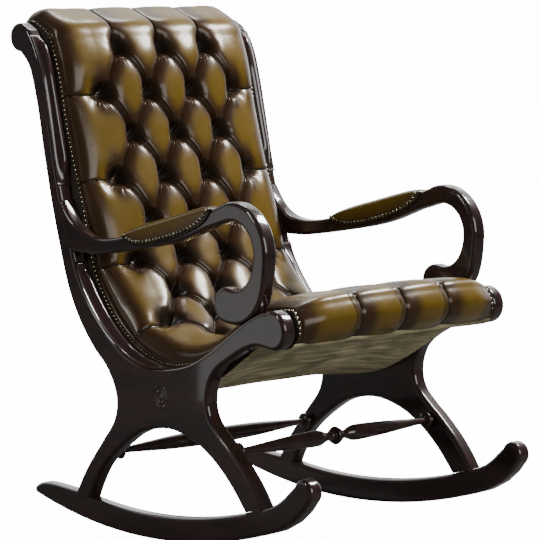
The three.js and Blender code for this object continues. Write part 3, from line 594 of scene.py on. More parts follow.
def polished_timber(finish: Finish) -> Material:
    """Dark red-brown timber under a thick gloss varnish.

    Args:
        finish: the finish.

    Returns:
        The material.
    """
    material, n, shader = new_material(finish.name)
    where = n.coordinates("Object")
    grain = n.group(grain_group(), where)
    marks = n.group(marks_group(), where)
    dark, red, pore = rgb(0.0155, 0.0084, 0.0076), rgb(0.0330, 0.0125, 0.0108), rgb(0.004, 0.002, 0.002)
    tone = n.mix(grain.outputs["Streaks"], dark, red)
    n.feed(shader, {
        "Base Color": n.mix(n.times(grain.outputs["Pores"], 0.5), tone, pore),
        "Roughness": n.linear(marks.outputs["Smears"], 0.10, 0.30),
        "Coat Weight": 1.0,
        "Coat Roughness": 0.05,
        "Coat IOR": 1.5,
        "Specular IOR Level": 0.12,
        "Normal": n.bump(grain.outputs["Streaks"], 0.10, 0.4 * MM),
    })
    return material


def antique_leather(finish: Finish) -> Material:
    """Leather whose golden top coat is rubbed to dark brown in the folds and at the edges, with painted
    shade in near black in its button pits and along its fold lines.

    Args:
        finish: the finish, whose value gold says how much of the golden coat shows, and whose
            value folds is over 0 where the fold lines are drawn.

    Returns:
        The material, which reads the piece's rub, its pit share of painted shade, and UV.
    """
    material, n, shader = new_material(finish.name)
    where = n.coordinates("Object")
    rub, pit = n.attribute("rub"), n.attribute("pit")
    skin = n.group(skin_group(), where)
    marks = n.group(marks_group(), where, 2.2)
    # black is the near black of the painted shade in the button pits and along the fold lines
    brown, gold, black = rgb(0.0330, 0.0160, 0.0066), rgb(0.118, 0.0735, 0.0090), rgb(0.0016, 0.0009, 0.0006)
    cloudy = n.linear(n.noise(where, 48.0, 7.0, 0.72), 0.64, -0.32)
    mottled = n.linear(n.noise(where, 330.0, 3.0, 0.6), 0.30, -0.15)
    worn = n.math("ADD", n.math("ADD", rub, mottled), cloudy)
    share = n.ramp(worn, 0.05, 1.16, 0.0, finish.value("gold", 1.0))
    # painted shade: near black is mixed into the button pits by their pit share
    tone = n.mix(n.times(pit, 0.9), n.mix(share, brown, gold), black)
    creases = n.times(skin.outputs["Creases"], n.linear(pit, 0.8, 0.2))
    normal = n.bump(creases, 0.30, 1.6 * MM, n.bump(skin.outputs["Grain"], 0.16, 0.5 * MM))
    if finish.value("folds", 0.0) > 0:
        crease, tucks, rays = n.group(fold_group(), n.coordinates("UV")).outputs
        # painted shade: the tucks and the thin creases are mixed towards near black
        tone = n.mix(n.times(tucks, 0.55), tone, black)
        tone = n.mix(crease, tone, black)
        sewn = n.most(n.most(crease, tucks), n.times(rays, 0.75))
        normal = n.bump(sewn, 0.55, 1.6 * MM, normal, invert=True)
    n.feed(shader, {
        "Base Color": tone,
        "Roughness": n.linear(pit, 0.10, n.linear(marks.outputs["Smears"], 0.10, 0.28)),
        "Coat Weight": n.linear(pit, 0.12, 0.28),
        "Coat Roughness": 0.16,
        "Coat Tint": rgb(1.0, 0.93, 0.82),
        "Specular IOR Level": 0.25,
        "Specular Tint": rgb(1.0, 0.84, 0.66),
        "Normal": normal,
    })
    return material


def woven_cloth(finish: Finish) -> Material:
    """A plain weave of warp and weft threads, with creases that are drawn out across it, handling marks, and
    painted shade along the creases and in soft blotches.

    Args:
        finish: the finish, whose values are the thread pitch in millimetres, the tone, and
            whether it reads the piece's UV in metres or its Object coordinates.

    Returns:
        The material.
    """
    material, n, shader = new_material(finish.name)
    where = n.coordinates("UV" if finish.value("uv", 1.0) > 0.5 else "Object")
    turns = 2 * np.pi / (finish.value("pitch", 1.6) * MM)
    warp, weft = (n.math("SINE", n.times(part, turns)) for part in n.split(where)[:2])
    weave = n.linear(n.times(warp, weft), 0.5, 0.5)
    slub = n.noise(n.scaled(where, (1.0, 9.0, 1.0)), 120.0, 4.0, 0.7)
    drawn = n.noise(n.scaled(where, (0.9, 8.0, 1.0)), 9.0, 4.0, 0.62)
    marks = n.group(marks_group(), where)
    light = finish.value("tone", 1.0)
    pale, deep = rgb(0.205, 0.180, 0.110, light), rgb(0.030, 0.026, 0.015, light)
    tone = n.mix(n.linear(weave, 0.75, n.times(slub, 0.3)), deep, pale)
    # handling marks, then painted shade along the creases and in soft blotches
    marks_and_painted_shade = ((marks.outputs["Smears"], 0.3), (n.ramp(drawn, 0.56, 0.42), 0.55),
              (n.ramp(n.noise(where, 5.5, 2.0), 0.50, 0.60), 0.6))
    for darkening, strength in marks_and_painted_shade:
        tone = n.mix(n.times(darkening, strength), tone, deep)
    n.feed(shader, {
        "Base Color": tone,
        "Roughness": 0.92,
        "Specular IOR Level": 0.25,
        "Normal": n.bump(n.linear(drawn, 6.0, weave), 0.7, 1.2 * MM),
    })
    return material


def aged_metal(finish: Finish) -> Material:
    """Metal with a dull film in places.

    Args:
        finish: the finish, whose values red, green and blue are the clean metal's colour.

    Returns:
        The material.
    """
    material, n, shader = new_material(finish.name)
    marks = n.group(marks_group(), n.coordinates("Object"), 6.0)
    clean = tuple(finish.value(name, 0.5) for name in ("red", "green", "blue"))
    n.feed(shader, {
        "Base Color": n.mix(marks.outputs["Smears"], rgb(*clean), rgb(*clean, 0.22)),
        "Metallic": 1.0,
        "Roughness": n.linear(marks.outputs["Smears"], 0.16, 0.12),
    })
    return material


def bare_timber(finish: Finish) -> Material:
    """Planed timber without varnish, as in hidden rails.

    Args:
        finish: the finish, whose value light says how dark it is stained.

    Returns:
        The material.
    """
    material, n, shader = new_material(finish.name)
    grain = n.group(grain_group(), n.coordinates("Object"), 0.8)
    light = finish.value("light", 1.0)
    deep, pale, pore = (rgb(*tone, light) for tone in (
        (0.30, 0.18, 0.085), (0.44, 0.29, 0.15), (0.16, 0.09, 0.04)))
    tone = n.mix(grain.outputs["Streaks"], deep, pale)
    n.feed(shader, {
        "Base Color": n.mix(grain.outputs["Pores"], tone, pore),
        "Roughness": 0.62,
        "Normal": n.bump(grain.outputs["Pores"], 0.2, 0.5 * MM),
    })
    return material


TIMBER = Finish("polished_cherry_black", "cherry_black", polished_timber)
LEATHER = Finish("antique_olive_leather", "olive_leather", antique_leather, (("folds", 1.0),))
DARK_LEATHER = Finish("antique_brown_leather", "brown_leather", antique_leather, (("gold", 0.22),))
ARM_LEATHER = Finish("antique_arm_leather", "brown_leather", antique_leather, (("gold", 0.95),))
# the hessian's tone of 5.4 lifts it past its own colour: painted light in place of the fill under the seat
HESSIAN = Finish("hessian_cloth", "hessian", woven_cloth, (("pitch", 5.6), ("tone", 5.4)))
WEBBING = Finish("jute_webbing", "jute", woven_cloth, (("pitch", 3.2), ("tone", 1.5), ("uv", 0.0)))
GIMP = Finish("gimp_braid", "olive_leather", woven_cloth, (("pitch", 1.5), ("tone", 0.22), ("uv", 0.0)))
NAIL = Finish("antique_nail", "steel", aged_metal, (("red", 0.36), ("green", 0.32), ("blue", 0.24)))
STEEL = Finish("plain_steel", "steel", aged_metal, (("red", 0.50), ("green", 0.51), ("blue", 0.53)))
BEECH = Finish("planed_beech", "beech", bare_timber)
STAINED_BEECH = Finish("stained_beech", "beech", bare_timber, (("light", 0.06),))


class Shading(Enum):
    """How a piece's faces are shaded."""

    SMOOTH = "smooth"
    BOARD = "board"


def new_object(name: str, points: Array, faces: Faces) -> Thing:
    """An object with a new mesh, in the scene.

    Args:
        name: the name of both.
        points: the mesh's points in metres.
        faces: its faces.

    Returns:
        The object.
    """
    mesh = bpy.data.meshes.new(name)
    mesh.from_pydata(points.tolist(), [], faces)
    mesh.update()
    thing = bpy.data.objects.new(name, mesh)
    bpy.context.scene.collection.objects.link(thing)
    return thing


@dataclass
class Maker:
    """Puts surfaces into the scene as finished pieces."""

    shown: int = 0
    sharp_angle: float = 38.0

    def piece(self, name: str, surface: Surface, finish: Finish, replaces: tuple[str, ...] = (),
              shading: Shading = Shading.SMOOTH) -> Thing:
        """A piece of the chair from a surface.

        Args:
            name: the piece's name.
            surface: its mesh in metres.
            finish: its finish.
            replaces: the CAD nodes that it stands for.
            shading: smooth, or a board's flat faces with rounded edges.

        Returns:
            The piece's object.
        """
        thing = new_object(name, surface.points, surface.faces)
        mesh = thing.data
        if surface.uv is not None:
            layer = mesh.uv_layers.new(name="UVMap")
            corners = np.zeros(len(mesh.loops), int)
            mesh.loops.foreach_get("vertex_index", corners)
            layer.data.foreach_set("uv", surface.uv[corners].astype(np.float32).ravel())
        for label, values in surface.shares.items():
            attribute = mesh.attributes.new(label, "FLOAT", "POINT")
            attribute.data.foreach_set("value", values.astype(np.float32))
        mesh.materials.append(finish.material())
        mesh.shade_smooth()
        if shading is Shading.BOARD:
            mesh.set_sharp_from_angle(angle=np.radians(self.sharp_angle))
            weights = thing.modifiers.new("flat_faces", "WEIGHTED_NORMAL")
            weights.keep_sharp = True
            weights.weight = 100
        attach(thing, BODY)
        if replaces:
            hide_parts(*replaces)
        self.shown += 1
        log.info("%s: %d faces, for %s", name, len(surface.faces), ", ".join(replaces) or "trim")
        return thing


@dataclass
class Work:
    """One kind of work on the chair, which hands its surfaces to a maker."""

    maker: Maker


# Outlines of the side frame, as shares of its depth and height

POST_SCROLL = place([(0.969, 0.970)])[0]
RAIL_SCROLL = place([(0.119, 0.453)])[0]
ARM_SCROLL = place([(0.240, 0.586)])[0]
ROUNDEL_POINT = place([(0.470, 0.288)])[0]
FRONT_STRETCHER_POINT = place([(0.270, 0.204)])[0]
REAR_STRETCHER_POINT = place([(0.668, 0.151)])[0]
CURL_POINT = place([(0.027, 0.166)])[0]
POST_JOINT = place([(0.640, 0.386), (0.689, 0.346)])
RAIL_JOINT = place([(0.348, 0.375), (0.311, 0.323)])
ARM_JOINT = place([(0.774, 0.546), (0.812, 0.647)])
RUNNER_RADIUS = 1346.0
RUNNER_CENTRE = np.array([(0.6 - 0.5) * FRAME_DEPTH, RUNNER_RADIUS])
POST_SCROLL_RADIUS = 29.0
RAIL_SCROLL_RADIUS = 37.0

POST_REAR = [
    (0.961, 0.939), (0.934, 0.916), (0.919, 0.887), (0.900, 0.828), (0.881, 0.747), (0.854, 0.645),
    (0.828, 0.564), (0.796, 0.478), (0.756, 0.413), (0.706, 0.361), (0.660, 0.326), (0.632, 0.289),
    (0.624, 0.256), (0.636, 0.219), (0.675, 0.176), (0.731, 0.114), (0.770, 0.059),
]
POST_FRONT = [
    (0.774, 0.546), (0.794, 0.594), (0.812, 0.641), (0.834, 0.713), (0.852, 0.788), (0.871, 0.862),
    (0.890, 0.922), (0.910, 0.959), (0.933, 0.986),
]
SEAT_LINE = [
    (0.155, 0.483), (0.200, 0.463), (0.263, 0.424), (0.318, 0.391), (0.373, 0.365), (0.430, 0.349),
    (0.498, 0.341), (0.557, 0.348), (0.615, 0.370), (0.671, 0.408), (0.719, 0.454), (0.754, 0.500),
    (0.774, 0.546),
]
UNDER_RAIL = [
    (0.142, 0.118), (0.165, 0.147), (0.197, 0.179), (0.241, 0.214), (0.278, 0.239), (0.308, 0.265),
    (0.319, 0.298), (0.309, 0.336), (0.284, 0.364), (0.242, 0.388), (0.203, 0.408), (0.166, 0.419),
    (0.139, 0.418),
]
ARCH = [
    (0.719, 0.051), (0.699, 0.086), (0.665, 0.129), (0.602, 0.176), (0.531, 0.213), (0.445, 0.228),
    (0.364, 0.215), (0.300, 0.186), (0.246, 0.147), (0.202, 0.103),
]
RUNNER_TAIL = [(0.810, 0.060), (0.863, 0.061), (0.893, 0.059), (0.911, 0.054), (0.924, 0.046)]
RUNNER_CURL_UNDER = [(0.055, 0.105), (0.024, 0.130)]
RUNNER_CURL_OVER = [(0.067, 0.163), (0.085, 0.148), (0.106, 0.134)]
ARM_TOP = [
    (0.306, 0.663), (0.396, 0.637), (0.493, 0.613), (0.582, 0.594), (0.643, 0.583), (0.692, 0.580),
    (0.738, 0.587), (0.779, 0.609), (0.812, 0.647),
]
ARM_LOW = [
    (0.774, 0.546), (0.692, 0.547), (0.595, 0.560), (0.482, 0.579), (0.402, 0.597), (0.317, 0.626),
]
NAIL_LINE = [
    (0.911, 0.976), (0.897, 0.954), (0.881, 0.919), (0.868, 0.881), (0.858, 0.842), (0.846, 0.794),
    (0.825, 0.729), (0.790, 0.636), (0.763, 0.541), (0.734, 0.482), (0.693, 0.433), (0.661, 0.406),
    (0.620, 0.380), (0.571, 0.357), (0.513, 0.345), (0.462, 0.345), (0.403, 0.358), (0.344, 0.381),
    (0.285, 0.414), (0.223, 0.451), (0.178, 0.475),
]
SHELL_UNDER = [
    (0.165, 0.420), (0.200, 0.411), (0.243, 0.384), (0.301, 0.348), (0.350, 0.322), (0.407, 0.296),
    (0.478, 0.277), (0.548, 0.273), (0.592, 0.280),
]
SHELL_REAR = [
    (0.604, 0.292), (0.643, 0.328), (0.691, 0.369), (0.742, 0.421), (0.779, 0.478), (0.810, 0.564),
    (0.836, 0.645), (0.863, 0.747), (0.882, 0.828), (0.903, 0.890), (0.935, 0.931),
]


def nailed_line() -> ArcLine:
    """The line that the leather's edge is nailed along, from behind the top roll to under the
    front roll: an arc round each scroll with a smooth line between them.

    Returns:
        The line.
    """
    knots = np.vstack([
        arc(POST_SCROLL, POST_SCROLL_RADIUS, -60, 112, 8),
        place(NAIL_LINE),
        arc(RAIL_SCROLL, RAIL_SCROLL_RADIUS, 112, 215, 5),
    ])
    return ArcLine(smooth_line(knots, 24), soften=11.0)


NAILED = nailed_line()


# Timber side frames

def board_surface(outline: Array, thickness: float, round_over: float, segments: int = 4) -> Surface:
    """A board from x = 0 to its thickness. Each outline point is moved inwards along the mean of
    its two edges' inward directions, by r(1 - sin t), as x goes through r(1 - cos t), with t
    from 0 to a right angle: a quarter round on both edges.

    Args:
        outline: the board's outline in the side plane.
        thickness: its thickness.
        round_over: radius of its rounded edges.
        segments: steps in each quarter round.

    Returns:
        The closed surface, with X measured from the board's inner face.
    """
    edges = unit_rows(np.roll(outline, -1, axis=0) - outline)
    ahead = np.stack([edges[:, 1], -edges[:, 0]], -1)
    behind = np.roll(ahead, 1, axis=0)
    mean = unit_rows(ahead + behind)
    reach = 1.0 / np.maximum(np.sum(mean * ahead, axis=1), 0.45)
    area = np.sum(outline[:, 0] * np.roll(outline[:, 1], -1)
                  - np.roll(outline[:, 0], -1) * outline[:, 1])
    inward = mean * reach[:, None] * (-1.0 if area > 0 else 1.0)
    turn = np.linspace(0.0, np.pi / 2, segments + 1)
    inset = round_over * (1.0 - np.sin(turn))
    depth = round_over * (1.0 - np.cos(turn))
    insets = np.concatenate([inset, inset[::-1]])
    xs = np.concatenate([depth, thickness - depth[::-1]])
    rings = outline[None] + inward[None] * insets[:, None, None]
    x = np.repeat(xs[:, None], len(outline), axis=1)
    return closed_tube(np.stack([x, rings[..., 0], rings[..., 1]], -1))


def prism_surface(outline: Array, low: float, high: float) -> Surface:
    """A straight-sided block over an outline of the side plane.

    Args:
        outline: the block's outline.
        low: the X of one end.
        high: the X of the other.

    Returns:
        The closed surface, in millimetres.
    """
    x = np.repeat(np.array([[low], [high]]), len(outline), axis=1)
    rings = np.repeat(outline[None], 2, axis=0)
    return closed_tube(np.stack([x, rings[..., 0], rings[..., 1]], -1))


def cylinder_surface(centre: Array, radius: float, low: float, high: float, sides: int) -> Surface:
    """A cylinder along X over a circle of the side plane."""
    return prism_surface(arc(centre, radius, 0, 360 - 360 / sides, sides - 1), low, high)


class Cut(Enum):
    """What a tool does to a board."""

    KEEP = "INTERSECT"
    TAKE = "DIFFERENCE"
    ADD = "UNION"


def carve(start: Surface, steps: list[tuple[Cut, Surface]]) -> Surface:
    """A surface after tools have kept, taken or added material, one after another.

    Args:
        start: the closed surface to work on, in millimetres.
        steps: each tool's action and closed surface.

    Returns:
        The result, in millimetres.
    """
    work = new_object("work", start.points * MM, start.faces)
    tools = []
    for cut, surface in steps:
        tool = new_object("tool", surface.points * MM, surface.faces)
        tools.append(tool)
        modifier = work.modifiers.new("cut", "BOOLEAN")
        modifier.operation = cut.value
        modifier.object = tool
        modifier.solver = "EXACT"
    bpy.context.view_layer.update()
    evaluated = work.evaluated_get(bpy.context.evaluated_depsgraph_get())
    mesh = evaluated.to_mesh()
    points = np.zeros(len(mesh.vertices) * 3)
    mesh.vertices.foreach_get("co", points)
    faces = [tuple(polygon.vertices) for polygon in mesh.polygons]
    evaluated.to_mesh_clear()
    for thing in [work] + tools:
        data = thing.data
        bpy.data.objects.remove(thing)
        bpy.data.meshes.remove(data)
    return Surface(points.reshape(-1, 3) / MM, faces)


@dataclass
class SideFrame(Work):
    """The timber of both side frames: posts, rails, legs, runners and arms in boards.

    Turns are angles in degrees: from the runner's lowest point for the runner, and from the back
    towards up for the arm's scroll.
    """

    thick: float = BOARD_THICK
    round_over: float = 8.0
    gap: float = NODE_GAP
    runner_deep: float = 49.0
    tread_turn: Pair = (13.0, -20.4)
    top_turn: Pair = (-20.0, 7.2)
    curl_radius: float = 25.0
    arm_radius: float = 96.0
    arm_band: float = 37.0
    arm_swell: float = 39.0
    arm_inner_swell: float = 9.0
    arm_turn: Pair = (76.0, 282.0)
    swell_turn: Pair = (186.0, 266.0)
    tongue_long: float = 16.0
    joint_over: float = 12.0
    recess_radius: float = 23.8
    recess_deep: float = 3.9
    cut_over: float = 60.0
    seat_clear: float = 0.6
    fine: int = 7

    def line(self, shares: list[Pair]) -> Array:
        """A fine smooth line through a table of shares."""
        return smooth_line(place(shares), self.fine)

    def on_runner(self, radius: float, degrees: Array) -> Array:
        """Points of a circle round the runner's centre, by angle from its lowest point."""
        turn = np.radians(degrees)
        return RUNNER_CENTRE + radius * np.stack([np.sin(turn), -np.cos(turn)], -1)

    def runner_outline(self) -> Array:
        """The runner's tread, front curl, top and tail.

        Returns:
            The closed outline.
        """
        return np.vstack([
            self.on_runner(RUNNER_RADIUS, np.linspace(*self.tread_turn, 60)),
            self.line(RUNNER_CURL_UNDER),
            arc(CURL_POINT, self.curl_radius, 215, 22, 26),
            self.line(RUNNER_CURL_OVER),
            self.on_runner(RUNNER_RADIUS - self.runner_deep, np.linspace(*self.top_turn, 50)),
            self.line(RUNNER_TAIL),
        ])

    def rail_scroll(self) -> Array:
        """The scroll at the seat rail's front end."""
        return arc(RAIL_SCROLL, RAIL_SCROLL_RADIUS, 278, 62, 36)

    def frame_outline(self) -> Array:
        """Posts, seat rail and legs, with the feet reaching down into the runner.

        Returns:
            The closed outline.
        """
        drop = np.array([0.0, -self.runner_deep / 2])
        rear, arch, under = self.line(POST_REAR), self.line(ARCH), self.line(UNDER_RAIL)
        return np.vstack([
            arc(POST_SCROLL, POST_SCROLL_RADIUS, 115, -75, 30), rear, rear[-1:] + drop,
            arch[:1] + drop, arch, arch[-1:] + drop, under[:1] + drop, under,
            self.rail_scroll(), self.line(SEAT_LINE)[:-1], self.line(POST_FRONT),
        ])

    def arm_line(self, radius: float, swell: float, degrees: Array) -> Array:
        """One line of the arm's scroll: a circle whose radius grows as a smoothstep.

        Args:
            radius: the circle's radius.
            swell: how much it grows by over swell_turn.
            degrees: angles from the back towards up.

        Returns:
            The line's points.
        """
        reach = radius + swell * smoothstep(*self.swell_turn, degrees)
        turn = np.radians(degrees)
        return ARM_SCROLL + reach[..., None] * np.stack([np.cos(turn), np.sin(turn)], -1)

    def arm_outline(self) -> Array:
        """The arm: its top, underside, scroll and the round curl at the scroll's end.

        Returns:
            The closed outline.
        """
        degrees = np.linspace(*self.arm_turn, 60)
        outer = self.arm_line(self.arm_radius, self.arm_swell, degrees)
        inner = self.arm_line(self.arm_radius - self.arm_band, self.arm_inner_swell, degrees)
        centre = (outer[-1] + inner[-1]) / 2
        radius = float(np.linalg.norm(outer[-1] - inner[-1]) / 2)
        curl = arc(centre, radius, self.arm_turn[1], self.arm_turn[1] + 180, 24)[1:-1]
        top, low = self.line(ARM_TOP), self.line(ARM_LOW)
        tongue = np.array([self.tongue_long, 0.0])
        return np.vstack([
            outer, curl, inner[::-1], low[::-1], low[:1] + tongue, top[-1:] + tongue, top[::-1]])

    def joint(self, ends: Array, shift: float) -> Array:
        """A joint line moved across itself and run on past the timber.

        Args:
            ends: the line's two ends.
            shift: how far it is moved.

        Returns:
            The new ends.
        """
        along = unit_rows((ends[1] - ends[0])[None])[0]
        across = np.array([-along[1], along[0]]) * shift
        return ends + along * self.joint_over * np.array([[-1.0], [1.0]]) + across

    def end_zone(self, joint: Array, far: float) -> Array:
        """The part of the side plane beyond a joint, as far as a place along the depth."""
        (x, z), outer = joint
        return np.array([(x, z), outer, (far, outer[1]), (far, 2 * FRAME_HEIGHT), (x, 2 * FRAME_HEIGHT)])

    def post_zone(self, shift: float) -> Array:
        """The part of the side plane that the post takes, widened by a shift."""
        return self.end_zone(self.joint(POST_JOINT, -shift), FRAME_DEPTH)

    def rail_zone(self, shift: float) -> Array:
        """The part of the side plane that the seat rail takes, widened by a shift."""
        return self.end_zone(self.joint(RAIL_JOINT, shift), -FRAME_DEPTH)

    def runner_zone(self, shift: float) -> Array:
        """The part of the side plane that the runner takes: under its top between the two feet,
        and well over its two ends outside them.

        Args:
            shift: how far the zone is widened.

        Returns:
            The zone's outline.
        """
        front = place(UNDER_RAIL)[0][0] + 1 + shift
        rear = place(POST_REAR)[-1][0] - 1 - shift
        joint = self.on_runner(RUNNER_RADIUS - self.runner_deep - shift, np.linspace(*self.top_turn, 80))
        joint = joint[(joint[:, 0] > front) & (joint[:, 0] < rear)]
        high, low = joint[0][1] + 2 * self.runner_deep, joint[-1][1] + self.runner_deep
        return np.vstack([
            [(-FRAME_DEPTH, high), (-FRAME_DEPTH, -self.cut_over), (FRAME_DEPTH, -self.cut_over),
             (FRAME_DEPTH, low), (rear, low), (rear, joint[-1][1])],
            joint[::-1], [(front, joint[0][1]), (front, high)],
        ])

    def arm_zone(self) -> Array:
        """The part of the side plane in front of the arm's rear joint."""
        low, high = ARM_JOINT
        return np.array([low, high, (-FRAME_DEPTH, FRAME_HEIGHT), (-FRAME_DEPTH, low[1] - self.cut_over)])

    def behind_arm(self) -> Array:
        """The part of the side plane behind the arm's rear joint, less the gap.

        Returns:
            The zone's outline.
        """
        low, high = ARM_JOINT
        along = high - low
        zone = np.array([low - along, high + along, (FRAME_DEPTH, high[1] + along[1]),
                         (FRAME_DEPTH, low[1] - along[1])])
        return zone - np.array([self.gap, 0.0])

    def under_seat_line(self) -> Array:
        """The part of the side plane under the seat rail's top, with the arm foot's clearance."""
        line = np.vstack([self.rail_scroll(), self.line(SEAT_LINE)]) + np.array([0.0, self.seat_clear])
        return np.vstack([[(line[-1][0], 0.0), (line[0][0], 0.0)], line])

    def cutter(self, outline: Array) -> Surface:
        """A cutting block that reaches past both faces of a board."""
        return prism_surface(outline, -self.cut_over, self.thick + self.cut_over)

    def pieces(self) -> dict[str, Surface]:
        """The five boards of one side, with X from the board's inner face.

        Returns:
            Surfaces in millimetres by the node's name without its side.
        """
        frame_board, runner_board, arm_board = (
            board_surface(outline, self.thick, self.round_over)
            for outline in (self.frame_outline(), self.runner_outline(), self.arm_outline()))
        recess = cylinder_surface(ROUNDEL_POINT, self.recess_radius, self.thick - self.recess_deep,
                                  self.thick + self.cut_over, 64)
        return {
            "back_post": carve(frame_board, [
                (Cut.ADD, arm_board), (Cut.KEEP, self.cutter(self.post_zone(0))),
                (Cut.TAKE, self.cutter(self.arm_zone()))]),
            "seat_side_rail": carve(frame_board, [(Cut.KEEP, self.cutter(self.rail_zone(0)))]),
            "leg_yoke": carve(frame_board, [
                (Cut.ADD, runner_board), (Cut.TAKE, self.cutter(self.post_zone(self.gap))),
                (Cut.TAKE, self.cutter(self.rail_zone(self.gap))),
                (Cut.TAKE, self.cutter(self.runner_zone(self.gap))), (Cut.TAKE, recess)]),
            "runner": carve(frame_board, [
                (Cut.ADD, runner_board), (Cut.KEEP, self.cutter(self.runner_zone(0)))]),
            "arm": carve(arm_board, [
                (Cut.TAKE, self.cutter(self.behind_arm())),
                (Cut.TAKE, self.cutter(self.under_seat_line()))]),
        }

    def place_side(self, surface: Surface, side: Side) -> Surface:
        """A surface in millimetres from its board's face, as it stands on the chair, in metres."""
        moved = surface.points + np.array([BOARD_INNER, CENTRE_SHIFT, 0.0])
        return replace(surface, points=moved * MM).on_side(side)

    def build(self) -> None:
        """Makes the boards of both sides."""
        for name, surface in self.pieces().items():
            for side in Side:
                node = f"{name}_{side.word}"
                board = self.place_side(surface, side)
                self.maker.piece(f"{node}_timber", board, TIMBER, (node,), Shading.BOARD)


# The moulding's outline across the board: share of the way from its outer arris to its inner one,
# share of the height, and beads' heights over that
MOULDING_PROFILE = np.array([
    (0.00, 0.06, 0.0), (0.05, 0.07, 0.0), (0.12, 0.10, 0.0), (0.22, 0.22, 0.0), (0.32, 0.46, 0.0),
    (0.40, 0.74, 0.0), (0.48, 0.94, 0.4), (0.58, 1.00, 1.0), (0.70, 1.00, 1.1), (0.82, 0.96, 0.5),
    (0.92, 0.88, -0.3), (1.0, 0.72, -1.0),
])


@dataclass
class PostMouldings(Work):
    """The carved strips between the boards' front edges and the nailed leather."""

    timber: SideFrame
    least: float = 7.0
    bead: float = 2.0
    even_out: float = 6.0
    fade: float = 0.16
    outer_inset: float = 1.2
    inner_inset: float = 0.4
    foot_high: float = 0.3
    seat_high: float = 0.4
    upper_run: Pair = (0.31, 0.94)
    lower_run: Pair = (0.46, 0.96)

    def section(self, reach: Array) -> Array:
        """The moulding's outline at each station: an arris, a cove and a round bead.

        Args:
            reach: distance from the board's edge to the nailed line, by station.

        Returns:
            [x, height] pairs by station and corner.
        """
        high = np.maximum(reach, self.least)[:, None]
        outside, inside = BOARD_THICK - self.outer_inset, self.inner_inset
        shape = smooth_line(MOULDING_PROFILE, 4)
        x = outside + (inside - outside) * shape[:, 0]
        heights = np.maximum(high * shape[:, 1] + shape[:, 2] * self.bead, 0.5)
        top = np.stack([np.broadcast_to(x, heights.shape), heights], -1)
        foot = np.broadcast_to(
            np.array([(inside, self.foot_high), (outside, self.foot_high)]), (len(high), 2, 2))
        return np.concatenate([top, foot], axis=1)

    def reach(self, points: Array, facing: Array) -> Array:
        """Distance from points, along their directions, to the nailed line.

        Args:
            points: places on the board's edge.
            facing: unit directions towards the sitter.

        Returns:
            The nearest crossing's distance for each point.
        """
        start, span = NAILED.points[:-1], np.diff(NAILED.points, axis=0)
        offset = start[None] - points[:, None]
        cross = facing[:, None, 0] * span[None, :, 1] - facing[:, None, 1] * span[None, :, 0]
        far = (offset[..., 0] * span[None, :, 1] - offset[..., 1] * span[None, :, 0]) / cross
        share = (offset[..., 0] * facing[:, None, 1] - offset[..., 1] * facing[:, None, 0]) / cross
        return np.where((share >= 0) & (share <= 1) & (far > 0), far, np.inf).min(axis=1)

    def strip(self, shares: list[Pair], run: Pair) -> Surface:
        """One moulding along part of a board's edge.

        Args:
            shares: the edge, in shares of the frame.
            run: the shares of the edge that it starts and ends at.

        Returns:
            The closed surface, in millimetres from the board's face.
        """
        points = smooth_line(place(shares), 8)
        first, last = (int(round(part * (len(points) - 1))) for part in run)
        points = points[first:last + 1]
        tangent = unit_rows(np.gradient(points, axis=0))
        facing = np.stack([-tangent[:, 1], tangent[:, 0]], -1)
        section = self.section(bell_mean(self.reach(points, facing), self.even_out))
        share = np.linspace(0.0, 1.0, len(points))
        lift = (section[..., 1] - self.seat_high) * ease_ends(share, self.fade)[:, None]
        section[..., 1] = self.seat_high + lift
        plane = points[:, None] + facing[:, None] * section[..., 1:]
        return closed_tube(np.concatenate([section[..., :1], plane], -1))

    def build(self) -> None:
        """Makes the upper and lower mouldings of both sides."""
        runs = {"post_moulding_upper": (POST_FRONT, self.upper_run),
                "post_moulding_lower": (SEAT_LINE, self.lower_run)}
        for name, (shares, run) in runs.items():
            surface = self.strip(shares, run)
            for side in Side:
                node = f"{name}_{side.word}"
                self.maker.piece(f"{node}_strip", self.timber.place_side(surface, side), TIMBER, (node,))


# A stretcher's turning. A bead's or a plain middle: bead widths from the centre, share of the
# bead's radius. The taper: shares of the shoulder's distance and of that radius. The end: bead
# widths inside the shoulder, share of that radius
BEADED_MIDDLE = [
    (0, 1), (0.22, 0.99), (0.42, 0.88), (0.52, 0.62), (0.62, 0.70), (0.76, 0.80), (0.90, 0.72),
    (1.0, 0.56), (1.3, 0.50), (1.9, 0.46), (2.6, 0.52), (3.6, 0.78), (5.2, 0.89),
]
PLAIN_MIDDLE = [(0, 0.85), (2.0, 0.86), (4.5, 0.89)]
TAPER = [(0.45, 0.78), (0.66, 0.59), (0.86, 0.39)]
TURNED_END = [
    (1.62, 0.36), (1.48, 0.38), (1.40, 0.62), (1.28, 0.80), (1.10, 0.93), (0.92, 0.96), (0.74, 0.92),
    (0.58, 0.80), (0.48, 0.62), (0.42, 0.50), (0.22, 0.52), (0.0, 0.60),
]

# The roundel's face: millimetres over the recess, share of its radius
ROUNDEL_RINGS = [
    (0.0, 1.0), (2.6, 1.0), (3.35, 0.97), (3.6, 0.93), (3.6, 0.86), (3.3, 0.81), (2.5, 0.77),
    (2.4, 0.72), (2.4, 0.66), (2.6, 0.61), (3.3, 0.57), (3.6, 0.52), (3.5, 0.47), (2.8, 0.42),
    (2.4, 0.37), (2.4, 0.30), (2.9, 0.25), (3.5, 0.17), (3.75, 0.08), (3.8, 0.01),
]


